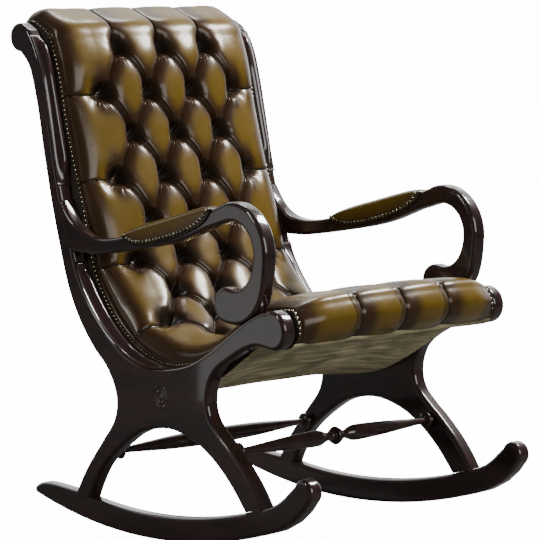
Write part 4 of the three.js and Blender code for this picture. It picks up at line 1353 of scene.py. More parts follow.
@dataclass
class TurnedWork(Work):
    """The two stretchers and the roundels, all turned round axes along X."""

    bead: float = 18.0
    bead_wide: float = 11.0
    tenon: float = 8.0
    tenon_long: float = 15.0
    tenon_tip: float = 0.4
    roundel_radius: float = 23.5
    roundel_deep: float = 3.6
    sides: int = 56
    roundel_sides: int = 72

    def profile(self, middle: list[Pair]) -> Array:
        """A stretcher's outline, as [distance from its middle, radius], with like halves.

        Args:
            middle: [bead widths from the centre, share of the bead's radius] pairs.

        Returns:
            The whole outline from the left tenon to the right one.
        """
        shoulder = BOARD_INNER - NODE_GAP
        centre = np.array(middle) * np.array([self.bead_wide, self.bead])
        taper = np.array(TAPER) * np.array([shoulder, self.bead])
        inward, radius = np.array(TURNED_END).T
        end = np.column_stack([shoulder - inward * self.bead_wide, radius * self.bead])
        half = smooth_line(np.vstack([centre, taper, end]), 5)
        tip = shoulder + self.tenon_long
        tenon = np.array([(shoulder, self.tenon), (tip, self.tenon), (tip, self.tenon_tip)])
        right = np.vstack([half, tenon])
        left = right[1:][::-1] * np.array([-1.0, 1.0])
        return np.vstack([left, right])

    def build(self) -> None:
        """Makes the stretchers and both roundels."""
        kinds = {"front_stretcher": (BEADED_MIDDLE, FRONT_STRETCHER_POINT),
                 "rear_stretcher": (PLAIN_MIDDLE, REAR_STRETCHER_POINT)}
        for node, (middle, point) in kinds.items():
            surface = lathe(self.profile(middle), point, self.sides)
            self.maker.piece(f"{node}_turning", surface, TIMBER, (node,))
        over, radius = np.array(ROUNDEL_RINGS).T
        profile = np.column_stack([BOARD_OUTER - self.roundel_deep + over, radius * self.roundel_radius])
        for side in Side:
            node = f"roundel_{side.word}"
            surface = lathe(profile, ROUNDEL_POINT, self.roundel_sides, float(side.value))
            self.maker.piece(f"{node}_turning", surface, TIMBER, (node,), Shading.BOARD)


# Upholstery

@dataclass
class Buttoning:
    """The sewn pattern of the leather, in millimetres across (x) and along (v) it.

    Buttons lie at crossings of two families of folds, a + b = whole and a - b = whole, where a is
    x over the button pitch and b is half the row number. Beyond the buttons a or b is held, so the
    folds turn into straight pleats: over both rolls, along the seat, and out to the sides. The
    folds of a - b bow upwards between their buttons.
    """

    pitch: float = 114.0
    row_pitch: float = 90.5
    first_row: float = 181.0
    last_row: int = 8
    outer: float = 1.5
    bow: float = 0.075
    hang_across: Pair = (1.25, 0.92)
    hang_down: Pair = (1.75, 0.88)

    @property
    def last_line(self) -> float:
        """Distance along the leather of the last button row."""
        return self.first_row + self.last_row * self.row_pitch

    def buttons(self) -> Array:
        """All buttons' places, row by row.

        Returns:
            [x, v] pairs.
        """
        out = []
        for row in range(self.last_row + 1):
            shares = (-1.0, 0.0, 1.0) if row % 2 == 0 else (-1.5, -0.5, 0.5, 1.5)
            out += [(share * self.pitch, self.first_row + row * self.row_pitch) for share in shares]
        return np.array(out)

    def coordinates(self, x: Array, v: Array) -> Arrays:
        """The pattern coordinates, held beyond the buttons.

        Args:
            x: places across, in millimetres.
            v: places along, in millimetres.

        Returns:
            a + b, a - b, and millimetres across a fold for one step of either.
        """
        row = (v - self.first_row) / self.row_pitch
        a = np.clip(x / self.pitch, -self.outer, self.outer)
        b = np.clip(row, 0.0, self.last_row) / 2.0
        steep_a = np.where(np.abs(x / self.pitch) < self.outer, 1.0 / self.pitch, 0.0)
        steep_b = np.where((row > 0) & (row < self.last_row), 0.5 / self.row_pitch, 0.0)
        bowed = a - b - self.bow * np.abs(np.sin(np.pi * (a + b)))
        return a + b, bowed, 1.0 / np.maximum(np.hypot(steep_a, steep_b), 1e-4)

    def nearest(self, x: Array, v: Array) -> Arrays:
        """Distance and direction to the nearest button, and its number. The leather hangs over
        each button from below, so a second distance counts that side and the left as farther.

        Args:
            x: places across.
            v: places along.

        Returns:
            Both distances in millimetres, direction in radians and the button's number.
        """
        right, down = (spot[..., None] - spots for spot, spots in zip((x, v), self.buttons().T))
        far = np.hypot(right, down)
        hung = np.hypot(right * np.where(right < 0, *self.hang_across),
                        down * np.where(down > 0, *self.hang_down))
        which = far.argmin(-1)
        right, down = (np.take_along_axis(part, which[..., None], -1)[..., 0] for part in (right, down))
        return far.min(-1), hung.min(-1), np.arctan2(down, right), which


def plump(share: Array, lean: float, power: float) -> Array:
    """A puff's rise between two folds, (4u(1 - u))^power with u = share^lean: a lean over 1 moves
    its top towards share 1 and steepens that side."""
    u = np.clip(share, 0.0, 1.0) ** lean
    return (4 * u * (1 - u)).clip(0.0) ** power


def plateau(value: Array, rise: Pair, fall: Pair) -> Array:
    """Rises from 0 to 1 over one range of a value and falls back over another."""
    return smoothstep(*rise, value) - smoothstep(*fall, value)


@dataclass(frozen=True)
class Dome:
    """A low dome's radius and height in millimetres, and its points round and up it."""

    radius: float
    high: float
    sides: int = 8
    rings: int = 3


BUTTON = Dome(9.5, 5.0, 14, 4)
EDGE_NAIL = Dome(4.1, 2.5)
PAD_NAIL = Dome(4.5, 3.6)
EDGE_NAIL_PITCH = 9.6
EDGE_NAIL_X = 253.0


@dataclass
class Upholstery(Work):
    """The leather of the back and seat: one skin over both, with buttons, gimp and nails.

    Lengths are in millimetres. Pairs named shares say where along the leather something rises or
    falls, pairs named shape are the lean and power of a puff, and pairs named span are distances
    over which something rises, or falls where the first is the larger. A wide is the distance
    over which a line fades.
    """

    pattern: Buttoning = field(default_factory=Buttoning)
    edge: float = 258.4
    wall_foot: float = 247.6
    wall_wide: float = 38.0
    wall_power: float = 2.6
    edge_high: float = 27.0
    curve_edge_high: float = 40.0
    front_edge_high: float = 16.0
    front_wall_more: float = 26.0
    front_wall_shares: Pair = (0.84, 0.95)
    puff: float = 49.0
    roll_puff: float = 33.5
    roll_shares: Pair = (0.06, 0.15)
    front_puff: float = 35.0
    front_shares: Pair = (0.80, 0.93)
    curve_puff: float = 62.0
    curve_shares: tuple[Pair, Pair] = ((0.30, 0.48), (0.60, 0.76))
    button_high: float = 8.0
    curve_button_high: float = 20.0
    button_sunk: float = 1.0
    pit_reach: float = 25.0
    pit_power: float = 2.8
    # the pit share, painted shade round each button, fades out over pit_span
    pit_span: Pair = (34.0, 13.0)
    curve_pit_more: float = 0.30
    soft_fold: float = 0.55
    soft_shape: Pair = (1.12, 0.52)
    sharp_fold: float = 0.30
    sharp_shape: Pair = (1.25, 0.48)
    side_dome: float = 0.32
    side_shape: Pair = (1.1, 0.5)
    side_fade: float = 38.0
    pleat_fade: float = 46.0
    front_pleat: float = 21.0
    front_span: Pair = (0.0, 60.0)
    crease_deep: float = 5.0
    crease_wide: float = 2.8
    tuck_deep: float = 3.0
    tuck_rise_span: Pair = (-1.0, 1.5)
    tuck_fall_span: Pair = (13.0, 8.5)
    pleat_deep: float = 2.2
    pleat_wide: float = 2.2
    groove_deep: float = 2.0
    groove_wide: float = 2.6
    uneven: float = 0.035
    level_power: float = 3.4
    ripples: Pair = (7.0, 12.0)
    ripple_high: float = 0.25
    ripple_uneven: float = 0.2
    ripple_far: float = 24.0
    ripple_wide: float = 12.0
    ripple_span: Pair = (4.0, 16.0)
    rub_top: Pair = (0.50, 0.98)
    rub_wall_span: Pair = (8.0, 48.0)
    rub_button_span: Pair = (14.0, 44.0)
    blend: float = 7.0
    hem: float = 3.0
    droop: float = 8.0
    droop_shape: Pair = (1.3, 0.6)
    sag: float = 0.14
    band_high: float = 1.7
    under_deep: float = 9.5
    under_more: float = 3.8
    under_shares: tuple[Pair, Pair] = ((0.10, 0.16), (0.85, 0.91))
    gimp_x: float = 257.0
    gimp_radius: float = 1.15
    gimp_step: float = 1.6
    gimp_twist: float = 4.2
    step: float = 2.1

    def columns(self) -> Array:
        """The columns' X: an even middle, closer together down each side wall.

        Returns:
            X from the right edge to the left one.
        """
        turn = np.linspace(0.0, np.pi / 2, 18)
        wall = self.wall_foot - self.wall_wide * (1 - np.cos(turn))
        inner = wall[-1]
        half = np.linspace(inner, 0.0, int(inner / self.step) + 1)[1:]
        band = [self.edge, self.edge - 0.6, self.edge - 5.0, self.wall_foot + 0.6]
        left = np.concatenate([band, wall, half])
        return np.concatenate([-left, left[::-1][1:]])

    def levels(self, v: Array) -> Arrays:
        """Heights of the side wall, the puffs and the buttons: low over the two rolls, and most
        where the back turns into the seat.

        Args:
            v: places along.

        Returns:
            The three heights in millimetres.
        """
        share = v / NAILED.length
        curve = plateau(share, *self.curve_shares)
        wall = self.edge_high + (self.curve_edge_high - self.edge_high) * curve
        wall = wall + (self.front_edge_high - self.edge_high) * smoothstep(*self.front_wall_shares, share)
        puffs = self.roll_puff + (self.puff - self.roll_puff) * smoothstep(*self.roll_shares, share)
        puffs = puffs + (self.front_puff - self.puff) * smoothstep(*self.front_shares, share)
        puffs = puffs + (self.curve_puff - self.puff) * curve
        return wall, puffs, self.button_high + (self.curve_button_high - self.button_high) * curve

    def over_walls(self, x: Array, v: Array, height: Array) -> Array:
        """The height with its ends brought down to the hems, and its sides down to the nailed
        bands by (1 - (1 - u)^p)^(1/p), with u the share of the way up the wall.

        Args:
            x: places across.
            v: places along.
            height: the height over the nailed line.

        Returns:
            The height in millimetres.
        """
        share = v / NAILED.length
        height = self.hem + (np.maximum(height, 2.0) - self.hem) * ease_ends(share, 0.030)
        wide = self.wall_wide + self.front_wall_more * smoothstep(*self.front_wall_shares, share)
        inward = np.clip((self.wall_foot - np.abs(x)) / wide, 0, 1)
        rise = (1 - (1 - inward) ** self.wall_power) ** (1 / self.wall_power)
        walled = self.band_high + (height - self.band_high) * rise
        return np.where(np.abs(x) > self.wall_foot, self.band_high, walled)

    def heights(self, x: Array, v: Array) -> Arrays:
        """The leather's height over the nailed line, and what its finish reads.

        Each family of folds takes a share d (1 - plump) from the puffs' rise. At a button d is 1,
        and away from it d falls by exp(-(r/r0)^2.8) to the fold's own depth: little for the sharp
        folds that run down to the right, which are thin creases between puffs that nearly touch,
        and more for the soft ones. A tucked band lies beside each sharp fold, and fine ripples
        run out from each button. The side panels have grooves and low domes instead.

        Args:
            x: places across.
            v: places along.

        Returns:
            Height in millimetres, the rub share, and the pit share of painted shade.
        """
        pattern = self.pattern
        plus, minus, step = pattern.coordinates(x, v)
        share_plus, share_minus = plus - np.floor(plus), minus - np.floor(minus)
        off_plus, off_minus = (plus - np.round(plus)) * step, (minus - np.round(minus)) * step
        far, hung, angle, which = pattern.nearest(x, v)
        wall, puffs, low = self.levels(v)
        pleats = np.maximum(smoothstep(0.0, -self.pleat_fade, v - pattern.first_row),
                            smoothstep(0.0, self.pleat_fade, v - pattern.last_line))
        beside = smoothstep(0.0, self.side_fade, np.abs(x) - pattern.outer * pattern.pitch)
        near = np.exp(-((hung / self.pit_reach) ** self.pit_power))
        deep_plus = (self.soft_fold + (1 - self.soft_fold) * near) * (1 - pleats * (1 - beside))
        deep_minus = self.sharp_fold + (1 - self.sharp_fold) * near
        puff_plus, puff_minus = plump(share_plus, *self.soft_shape), plump(share_minus, *self.sharp_shape)
        full = (1 - deep_plus * (1 - puff_plus)) * (1 - deep_minus * (1 - puff_minus))
        wobble = 1 + self.uneven * np.sin(2.7 * np.floor(plus) + 4.1 * np.floor(minus) + 0.6)

        tuck = smoothstep(*self.tuck_rise_span, off_minus) * smoothstep(*self.tuck_fall_span, off_minus)
        tuck = tuck * (1 - pleats)
        front = smoothstep(*self.front_span, v - pattern.last_line)
        second = np.exp(-np.abs(off_minus + self.front_pleat) / self.pleat_wide) * front
        line = np.exp(-np.abs(off_minus) / self.crease_wide) * (1 - 0.5 * pleats)
        crease = self.crease_deep * line + self.tuck_deep * tuck + self.pleat_deep * second
        tufted = low + (puffs * wobble - low) * full - crease * ((1 - beside) * (1 - near))
        outward = (np.abs(x) / (self.wall_foot - 6.0)).clip(0, 1)
        level = wall + (puffs - wall) * (1 - outward ** self.level_power)
        spare = tufted - level * wobble
        tufted = tufted - 0.5 * (spare + np.hypot(spare, self.blend))

        groove = np.exp(-np.abs(off_plus) / self.groove_wide)
        domed = 1 - self.side_dome * (1 - plump(share_plus, *self.side_shape)) * (1 - pleats)
        plain = level * wobble * domed - self.groove_deep * groove * (1 - pleats)
        plain = plain - (plain - low) * np.exp(-((far / (1.15 * self.pit_reach)) ** 2))
        height = tufted + (plain - tufted) * beside

        ripple = sum(np.cos(k * angle + 1.7 * which * k) for k in self.ripples) / 2
        fade = np.exp(-(((far - self.ripple_far) / self.ripple_wide) ** 2))
        fade = fade * smoothstep(*self.ripple_span, far)
        high = self.ripple_high + self.ripple_uneven * np.sin(5.1 * which)
        height = height + high * ripple * fade * full
        height = self.over_walls(x, v, height)

        lift = puff_minus * (puff_plus + (1 - puff_plus) * pleats * (1 - beside))
        top = smoothstep(*self.rub_top, lift + (0.94 - lift) * beside)
        curve = (low - self.button_high) / (self.curve_button_high - self.button_high)
        reach = hung / (1 + self.curve_pit_more * curve)
        rub = top * smoothstep(*self.rub_wall_span, self.wall_foot - np.abs(x))
        rub = rub * smoothstep(*self.rub_button_span, reach)
        # the pit share: painted shade round each button, weaker on the side panels
        return height, rub, smoothstep(*self.pit_span, reach) * (1 - 0.5 * beside)

    def hem_droop(self, x: Array, v: Array) -> Array:
        """How far the front hem hangs lower between two pleats.

        Args:
            x: places across.
            v: places along.

        Returns:
            The distance along the leather, in millimetres.
        """
        share = self.pattern.coordinates(x, v)[1]
        low = smoothstep(0.945, 1.0, v / NAILED.length) * smoothstep(0.0, 26.0, self.wall_foot - np.abs(x))
        return self.droop * low * (plump(share - np.floor(share), *self.droop_shape) - 0.35)

    def skin(self) -> Surface:
        """The leather as one closed form over the nailed line, with its UV in metres.

        Returns:
            The closed surface.
        """
        rows = np.linspace(0.0, NAILED.length, int(NAILED.length / self.step) + 1)
        v, x = np.meshgrid(rows, self.columns(), indexing="ij")
        height, rub, pit = self.heights(x, v)
        point, tangent, out = NAILED.at(rows)
        share = rows / NAILED.length
        sag = self.sag * smoothstep(0.60, 0.40, share)[:, None] * (height - self.button_high).clip(0)
        sag = sag + self.hem_droop(x, v)
        plane = point[:, None] + out[:, None] * height[..., None] + tangent[:, None] * sag[..., None]
        inside = self.wall_foot - 0.7
        deep = self.under_deep + self.under_more * plateau(share, *self.under_shares)
        flat = 0 * rows + 0.45
        under_x = np.array([self.edge, inside, inside, -inside, -inside, -self.edge])
        under_h = np.stack([flat, flat, -deep, -deep, flat, flat], -1)
        under = point[:, None] + out[:, None] * under_h[..., None]
        rings_x = np.concatenate([x, np.broadcast_to(under_x, under_h.shape)], axis=1)
        rings = to_metres(rings_x, np.concatenate([plane, under], axis=1))
        uv = np.stack([rings_x, np.broadcast_to(rows[:, None], rings_x.shape)], -1) * MM
        rub, pit = (np.concatenate([values, 0 * under_h], 1) for values in (rub, pit))
        return closed_tube(rings, uv, rub=rub, pit=pit)

    def on_skin(self, x: Array, v: Array, lift: float) -> Arrays:
        """Model points over the leather, with their directions.

        Args:
            x: places across.
            v: places along.
            lift: height over the leather.

        Returns:
            Points in metres, and the directions along the leather and out of it.
        """
        point, tangent, out = NAILED.at(v)
        points = to_metres(x, point + out * (self.heights(x, v)[0] + lift)[..., None])
        return points, side_vectors(tangent), side_vectors(out)

    def buttons(self) -> Surface:
        """The covered buttons, each a low dome in its pit."""
        return domes(*self.on_skin(*self.pattern.buttons().T, -self.button_sunk), BUTTON)

    def nails(self, side: Side) -> Surface:
        """The domed nails along one edge."""
        v = 10 + EDGE_NAIL_PITCH * np.arange(int((NAILED.length - 20) / EDGE_NAIL_PITCH) + 1)
        return domes(*self.on_skin(np.full(v.shape, side.value * EDGE_NAIL_X), v, 0.0), EDGE_NAIL)

    def gimp(self, side: Side) -> Surface:
        """The thin twisted cord outside the nails.

        Args:
            side: the edge's side.

        Returns:
            The closed surface.
        """
        v = np.arange(6.0, NAILED.length - 6.0, self.gimp_step)
        base, _, out = self.on_skin(np.full(v.shape, side.value * self.gimp_x), v, 0.3)
        across = all_rows((1.0, 0.0, 0.0), len(v))
        return cord_surface(base, across, out, self.gimp_radius, self.gimp_twist / self.gimp_step)

    def build(self) -> None:
        """Makes the leather with its buttons, nails and gimp."""
        skin = self.maker.piece("buttoned_leather", self.skin(), LEATHER, ("back_cushion", "seat_cushion"))
        self.maker.piece("leather_buttons", self.buttons(), DARK_LEATHER)
        for side in Side:
            self.maker.piece(f"edge_nails_{side.word}", self.nails(side), NAIL)
            self.maker.piece(f"edge_gimp_{side.word}", self.gimp(side), GIMP)


def side_vectors(plane: Array) -> Array:
    """Model directions from side-plane directions."""
    return np.concatenate([np.zeros(plane.shape[:-1] + (1,)), plane], -1)


def all_rows(vector: Triple, count: int) -> Array:
    """One vector repeated in every row."""
    return np.tile(np.array(vector), (count, 1))


def domes(base: Array, along: Array, up: Array, dome: Dome) -> Surface:
    """Low domes: ring k has radius r cos t and height h sin t, with t in even steps to a pole.

    Args:
        base: centres of the domes' feet, in metres.
        along: a unit direction in each dome's foot.
        up: each dome's outward direction.
        dome: their sizes.

    Returns:
        All domes as one surface, each closed underneath.
    """
    sides, rings = dome.sides, dome.rings
    across = np.cross(along, up)
    turn = np.linspace(0, 2 * np.pi, sides, endpoint=False)
    lift = np.linspace(0, np.pi / 2, rings + 1)[:-1]
    spoke = np.cos(turn)[:, None] * along[:, None, None] + np.sin(turn)[:, None] * across[:, None, None]
    points = (base[:, None, None] + spoke * (dome.radius * np.cos(lift))[:, None, None] * MM
              + up[:, None, None] * (dome.high * np.sin(lift))[:, None, None] * MM)
    pole = base + up * dome.high * MM
    points = np.concatenate([points.reshape(len(base), -1, 3), pole[:, None]], axis=1).reshape(-1, 3)
    size = rings * sides + 1
    last = size - 1 - sides
    top = [(last + k, last + (k + 1) % sides, size - 1) for k in range(sides)]
    faces = grid_faces(rings, sides, closed=True) + top + [tuple(range(sides))[::-1]]
    faces = facing_out(Surface(points[:size], faces)).faces
    return Surface(points, [tuple(corner + start * size for corner in face)
                            for start in range(len(base)) for face in faces])


def cord_surface(centre: Array, across: Array, up: Array, radius: float, pitch: float) -> Surface:
    """A cord of two strands: its radius swells twice on the way round, r(1 + 0.28 cos 2(t - w)),
    and w turns steadily along it.

    Args:
        centre: points along the cord, in metres.
        across: unit directions across it.
        up: unit directions out of what it lies on.
        radius: mean radius in millimetres.
        pitch: points from one strand to the next.

    Returns:
        The closed surface.
    """
    angle = np.linspace(0, 2 * np.pi, 8, endpoint=False)
    twist = (2 * np.pi * np.arange(len(centre)) / (pitch * 2))[:, None]
    reach = radius * (1 + 0.28 * np.cos(2 * (angle - twist))) * MM
    return closed_tube(centre[:, None] + across[:, None] * (reach * np.cos(angle))[..., None]
                       + up[:, None] * (reach * np.sin(angle))[..., None])


@dataclass
class ShellCovers(Work):
    """The hessian under the seat and the plain leather outside the back."""

    edge: float = 258.3
    off_shell: float = 0.4
    cloth_thick: float = 1.1
    back_thick: float = 2.6
    drawn_up: float = 16.0
    fold_high: float = 2.8
    fine_high: float = 1.8
    swell: float = 5.0

    def sheet(self, path: ArcLine, rise: Callable[[Array, Array], Array], thick: float,
              rows: int, columns: int) -> Surface:
        """A thin closed sheet outside a line of the shell.

        Args:
            path: the line.
            rise: height of the sheet's inner face by [share across from -1 to 1, share along].
            thick: the sheet's thickness.
            rows: stations along it.
            columns: points across it.

        Returns:
            The closed surface, with its UV in metres.
        """
        v = np.linspace(0.0, path.length, rows)
        x = np.linspace(-self.edge, self.edge, columns)
        point, _, out = path.at(v)
        inner = rise((x / self.edge)[None] + 0 * v[:, None], v[:, None] + 0 * x[None]) + self.off_shell
        heights = np.concatenate([inner, (inner + thick)[:, ::-1]], axis=1)
        xs = np.broadcast_to(np.concatenate([x, x[::-1]]), heights.shape)
        plane = point[:, None] + out[:, None] * heights[..., None]
        uv = np.stack([xs, np.broadcast_to(v[:, None], xs.shape)], -1) * MM
        rub = 0.55 * (1 - smoothstep(0.86, 0.97, np.abs(xs) / self.edge))
        return closed_tube(to_metres(xs, plane), uv, rub=rub, pit=0 * rub)

    def build(self) -> None:
        """Makes both covers and the outside back's nails."""
        roll = arc(RAIL_SCROLL, RAIL_SCROLL_RADIUS, 219, 272, 10)
        under = ArcLine(np.vstack([roll, smooth_line(place(SHELL_UNDER), 8)]), soften=8.0)
        rear = ArcLine(smooth_line(place(SHELL_REAR), 8), soften=8.0)

        def slack(across: Array, along: Array) -> Array:
            """The hessian's height: drawn up in the middle, with low ridges that run across.

            Args:
                across: share across, from -1 to 1.
                along: millimetres along.

            Returns:
                The height in millimetres.
            """
            share = along / under.length
            inward = smoothstep(0.0, 0.5, 1 - np.abs(across))
            ridge = np.sin(along / 9.5 + 2.2 * np.sin(2.1 * across + 0.7))
            fold = ridge * np.sin(along / 33.0 + 1.4 * across)
            fine = 0.5 * np.sin(along / 4.1 + 5.0 * across) * np.sin(6.0 * across + along / 60.0)
            folds = (self.fold_high * fold + self.fine_high * fine) * inward * ease_ends(share, 0.12)
            return -self.drawn_up * inward * np.sin(np.pi * share ** 1.5) + folds

        def swell(across: Array, along: Array) -> Array:
            """The outside back's height: a little over its padding in the middle."""
            inward = 1 - np.abs(across)
            return self.swell * inward * (2 - inward) * ease_ends(along / rear.length, 0.2)

        covers = (
            ("hessian_underside", "underside_cloth", HESSIAN, under, slack, self.cloth_thick, 170, 150),
            ("outside_back_leather", "outside_back", DARK_LEATHER, rear, swell, self.back_thick, 120, 90))
        for name, node, finish, path, *shape in covers:
            piece = self.maker.piece(name, self.sheet(path, *shape), finish, (node,))
        v = np.arange(6.0, rear.length - 4.0, EDGE_NAIL_PITCH)
        point, tangent, out = rear.at(v)
        for side in Side:
            x = np.full(v.shape, side.value * EDGE_NAIL_X)
            base = to_metres(x, point + out * (self.back_thick + 0.5))
            nails = domes(base, side_vectors(tangent), side_vectors(out), EDGE_NAIL)
            self.maker.piece(f"back_nails_{side.word}", nails, NAIL)


@dataclass
class ArmPads(Work):
    """The leather pads over both arms, with their nails and gimp.

    Across a pad, places run from -1 to 1, from one lower lip to the other: the middle part goes
    over the crown as an ellipse, and the rest hangs down each side of the arm.
    """

    reach: float = 0.4
    skin: float = 4.0
    crown: float = 15.0
    drop: float = 29.0
    top_share: float = 0.6
    half: float = BOARD_THICK / 2 + NODE_GAP
    nail_lip: float = 6.8
    nail_pitch: float = 10.9
    gimp_lip: float = 1.0
    gimp_radius: float = 1.1
    gimp_pitch: float = 3.0

    def spine(self) -> ArcLine:
        """The part of the arm's top line that the pad covers.

        Returns:
            The line.
        """
        points = smooth_line(place(ARM_TOP), 12)
        covered = points[:int(round(self.reach * (len(points) - 1))) + 1]
        return ArcLine(covered[::-1], soften=14.0)

    def fullness(self, share: Array) -> Array:
        """How full the pad is along its length: (1 - |2s - 1|^3)^0.5."""
        return np.sqrt(np.clip(1 - np.abs(2 * share - 1) ** 3, 0.0, 1))

    def hang(self, across: Array) -> Array:
        """How far down the side a place lies, from 0 at the top to 1 at the lip."""
        return np.clip((np.abs(across) - self.top_share) / (1 - self.top_share), 0, 1)

    def section(self, share: Array, across: Array) -> Arrays:
        """The pad's outer skin.

        Args:
            share: share along the pad.
            across: place across it.

        Returns:
            X from the arm's middle and height over the arm's top.
        """
        full, hang = self.fullness(share), self.hang(across)
        turn = np.clip(across / self.top_share, -1, 1) * np.pi / 2
        outer = self.half + self.skin * (0.35 + 0.65 * full)
        height = (0.8 + self.crown * full) * np.cos(turn) ** 0.8 - hang * self.drop * full
        pulled = 1.6 * smoothstep(0.55, 1.0, hang) * full
        return outer * np.sin(turn) - np.sign(across) * pulled, height

    def surface(self) -> Surface:
        """The pad as a saddle over the arm.

        Returns:
            The closed surface.
        """
        line = self.spine()
        share = np.linspace(0.0, 1.0, 90)
        s, c = np.meshgrid(share, np.linspace(-1.0, 1.0, 61), indexing="ij")
        x, height = self.section(s, c)
        drop = height[:, :1]
        inner_x = np.array([self.half, self.half, -self.half, -self.half])
        inner_h = np.concatenate([drop, 0 * drop + 0.5, 0 * drop + 0.5, drop], axis=1)
        xs = np.concatenate([x, np.broadcast_to(inner_x, inner_h.shape)], axis=1)
        heights = np.concatenate([height, inner_h], axis=1)
        point, _, out = line.at(share * line.length)
        plane = point[:, None] + out[:, None] * heights[..., None]
        rub = 0.95 * (self.fullness(s) * (1 - self.hang(c))) ** 0.8
        rub = np.concatenate([rub, 0 * inner_h], 1)
        return closed_tube(to_metres(xs + BOARD_MIDDLE, plane), None, rub=rub, pit=0 * rub)

    def lip(self, inward: float, steps: int) -> Array:
        """A run along the pad's lower lip, up both ends.

        Args:
            inward: how far inside the lip it lies, in millimetres.
            steps: number of points.

        Returns:
            Side-plane places.
        """
        line = self.spine()
        turn = np.linspace(0.02, np.pi - 0.02, steps)
        share = 0.5 - 0.5 * np.sign(np.cos(turn)) * np.abs(np.cos(turn)) ** (2.0 / 3.0)
        along = np.clip(inward / line.length + share * (1 - 2 * inward / line.length), 0, 1)
        point, _, out = line.at(along * line.length)
        return point - out * (self.drop * self.fullness(share) - inward).clip(0.0)[:, None]

    def build(self) -> None:
        """Makes both pads with their nails and gimp."""
        run = ArcLine(self.lip(self.nail_lip, 400))
        even = np.arange(0.0, run.length, self.nail_pitch)
        spots = np.stack([np.interp(even, run.along, run.points[:, k]) for k in (0, 1)], -1)
        edge = self.lip(self.gimp_lip, 260)
        face = self.half + self.skin * 0.62

        def nails(sign: float) -> Surface:
            """The nails along the lip on one side of the arm."""
            x = np.full(len(spots), BOARD_MIDDLE + sign * (face + 1.0))
            up, out = all_rows((0.0, 0.0, 1.0), len(spots)), all_rows((sign, 0.0, 0.0), len(spots))
            return domes(to_metres(x, spots), up, out, PAD_NAIL)

        def gimp(sign: float) -> Surface:
            """The gimp along the lip on one side of the arm.

            Args:
                sign: 1 for the outer side, -1 for the inner one.

            Returns:
                The closed surface.
            """
            centre = to_metres(np.full(len(edge), BOARD_MIDDLE + sign * (face - 0.6)), edge)
            tangent = unit_rows(np.gradient(centre, axis=0))
            normal = all_rows((sign, 0.0, 0.0), len(edge))
            return cord_surface(centre, np.cross(tangent, normal), normal, self.gimp_radius, self.gimp_pitch)

        for side in Side:
            node = f"arm_pad_{side.word}"
            pad = self.maker.piece(f"{node}_leather", self.surface().on_side(side), ARM_LEATHER, (node,))
            for name, trim, finish in (("nails", nails, NAIL), ("gimp", gimp, GIMP)):
                surface = join([trim(1.0), trim(-1.0)]).on_side(side)
                self.maker.piece(f"pad_{name}_{side.word}", surface, finish)


@dataclass
class HiddenWork:
    """The CAD nodes that stay as they are, inside the shell and the joints."""

    dressed: str = "seat_side_rail"

    def build(self) -> None:
        """Gives each of them its finish by a word of its name."""
        kinds = {"dowel": BEECH, "rail": BEECH, "shell_side": STAINED_BEECH, "web": WEBBING, "bolt": STEEL}
        for name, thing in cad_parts.items():
            for word, finish in kinds.items():
                if word in name and not name.startswith(self.dressed):
                    thing.data.materials.clear()
                    thing.data.materials.append(finish.material())


@dataclass(frozen=True)
class SoftLight:
    """A rectangular light: where it hangs, what it faces, its width and height, its power."""

    name: str
    hangs: Triple
    faces: Triple
    size: Pair
    power: float

    def build(self) -> None:
        """Puts the light into the scene."""
        lamp = bpy.data.lights.new(self.name, "AREA")
        lamp.shape = "RECTANGLE"
        lamp.size, lamp.size_y = self.size
        lamp.energy = self.power
        thing = bpy.data.objects.new(self.name, lamp)
        bpy.context.scene.collection.objects.link(thing)
        thing.location = self.hangs
        ahead = Vector(self.faces) - Vector(self.hangs)
        thing.rotation_euler = ahead.to_track_quat("-Z", "Y").to_euler()


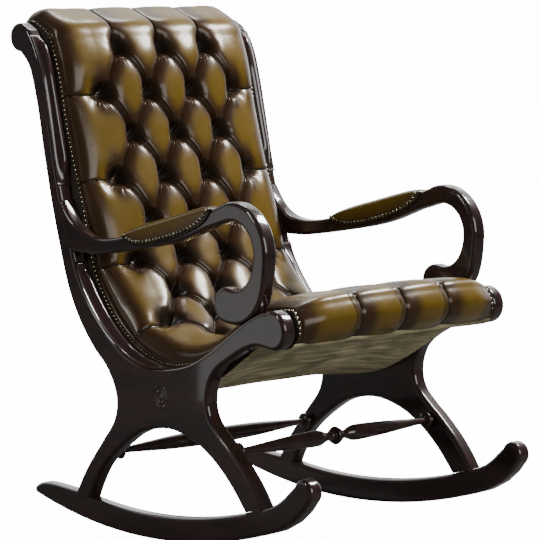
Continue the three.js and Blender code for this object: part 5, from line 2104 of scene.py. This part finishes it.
@dataclass
class Studio:
    """A pale floor, soft lights and the camera at the photograph's angle, in metres."""

    eye: Triple = (-3.2124, -3.7135 + CENTRE_SHIFT * MM, 1.1186)
    ahead: Triple = (0.65113, 0.74903, -0.12238)
    lens: float = 163.6
    sensor: float = 36.0
    seen_sky: float = 18.0
    dim_sky: float = 0.10
    seen_floor: float = 14.0
    wall_glow: float = 0.12
    floor_half: float = 9.0
    floor_turn: float = 41.0
    bend_start: float = 3.0
    bend_radius: float = 2.5
    wall_top: float = 7.0
    lights: tuple[SoftLight, ...] = (
        SoftLight("left_strip", (-3.2, 0.9, 2.6), (0, 0, 0.6), (0.25, 2.0), 42),
        SoftLight("side_card", (-1.6, 0.93, 0.40), (-0.3, -0.35, 0.5), (0.65, 0.85), 1.7),
        SoftLight("key_softbox", (1.8, -0.6, 2.85), (0, -0.1, 0.6), (0.9, 0.6), 148),
        SoftLight("front_fill", (-0.6, -4.2, 1.9), (0, 0, 0.6), (3.0, 2.2), 120),
        SoftLight("top_strip", (0.9, 1.2, 2.9), (0, 0, 0.6), (0.9, 0.4), 22),
        SoftLight("rear_strip", (3.0, 1.2, 1.6), (0, 0, 0.6), (0.7, 2.4), 10),
    )

    def floor_finish(self) -> Material:
        """The floor's pale finish, which glows to the camera alone and so looks white.

        Returns:
            The material.
        """
        material, n, shader = new_material("studio_floor")
        where = n.coordinates("Object")
        seen = n.add("ShaderNodeLightPath").outputs["Is Camera Ray"]
        tone = n.mix(n.noise(where, 1.5, 2.0), rgb(0.88, 0.88, 0.88), rgb(0.91, 0.91, 0.91))
        wall = n.ramp(n.split(where)[2], 0.05, 1.2, 0.0, self.wall_glow)
        black, white = rgb(0.0, 0.0, 0.0), rgb(1.0, 1.0, 1.0)
        n.feed(shader, {
            "Base Color": n.mix(seen, rgb(0.10, 0.10, 0.095), tone),
            "Roughness": 0.85,
            "Emission Color": n.mix(seen, n.mix(wall, black, white), white),
            "Emission Strength": self.seen_floor,
        })
        return material

    def floor(self) -> None:
        """A wide pale floor that rises behind the chair in a quarter circle."""
        bend = np.linspace(0, np.pi / 2, 24)[1:]
        y = np.concatenate([np.linspace(-self.floor_half, self.bend_start, 20),
                            self.bend_start + self.bend_radius * np.sin(bend),
                            np.full(6, self.bend_start + self.bend_radius)])
        z = np.concatenate([np.zeros(20), self.bend_radius * (1 - np.cos(bend)),
                            np.linspace(self.bend_radius + 0.5, self.wall_top, 6)])
        turn = np.radians(self.floor_turn)
        x, y, z = np.linspace(-self.floor_half, self.floor_half, 24), y[:, None], z[:, None]
        points = np.stack([x * np.cos(turn) + y * np.sin(turn), y * np.cos(turn) - x * np.sin(turn),
                           z + 0 * x], -1)
        thing = new_object("studio_floor", points.reshape(-1, 3), grid_faces(len(y), len(x)))
        thing.data.shade_smooth()
        thing.data.materials.append(self.floor_finish())

    def camera(self) -> None:
        """The camera, solved from the photograph."""
        data = bpy.data.cameras.new("camera")
        data.lens = self.lens
        data.sensor_width = self.sensor
        thing = bpy.data.objects.new("camera", data)
        bpy.context.scene.collection.objects.link(thing)
        back = -Vector(self.ahead).normalized()
        right = Vector((0, 0, 1)).cross(back).normalized()
        turn = Matrix((right, back.cross(right), back)).transposed().to_4x4()
        thing.matrix_world = Matrix.Translation(self.eye) @ turn
        bpy.context.scene.camera = thing

    def sky(self) -> None:
        """A white surround to look at, which lights the chair only dimly."""
        world = bpy.data.worlds.new("studio")
        world.use_nodes = True
        n = Nodes(world.node_tree)
        seen = n.add("ShaderNodeLightPath").outputs["Is Camera Ray"]
        dim = rgb(1.0, 1.0, 1.0, self.dim_sky / self.seen_sky)
        n.feed(world.node_tree.nodes["Background"], {
            "Color": n.mix(seen, dim, rgb(1.0, 1.0, 1.0)), "Strength": self.seen_sky})
        bpy.context.scene.world = world

    def build(self) -> None:
        """Sets the stage."""
        self.sky()
        self.floor()
        for light in self.lights:
            light.build()
        self.camera()


def main() -> None:
    """Builds the chair's pieces in order, then the studio."""
    logging.basicConfig(level=logging.INFO, format="%(name)s: %(message)s")
    maker = Maker()
    timber = SideFrame(maker)
    for work in (timber, PostMouldings(maker, timber), TurnedWork(maker), Upholstery(maker),
                 ShellCovers(maker), ArmPads(maker), HiddenWork(), Studio()):
        work.build()
    log.info("%d pieces made", maker.shown)


if __name__ == "__main__":
    main()
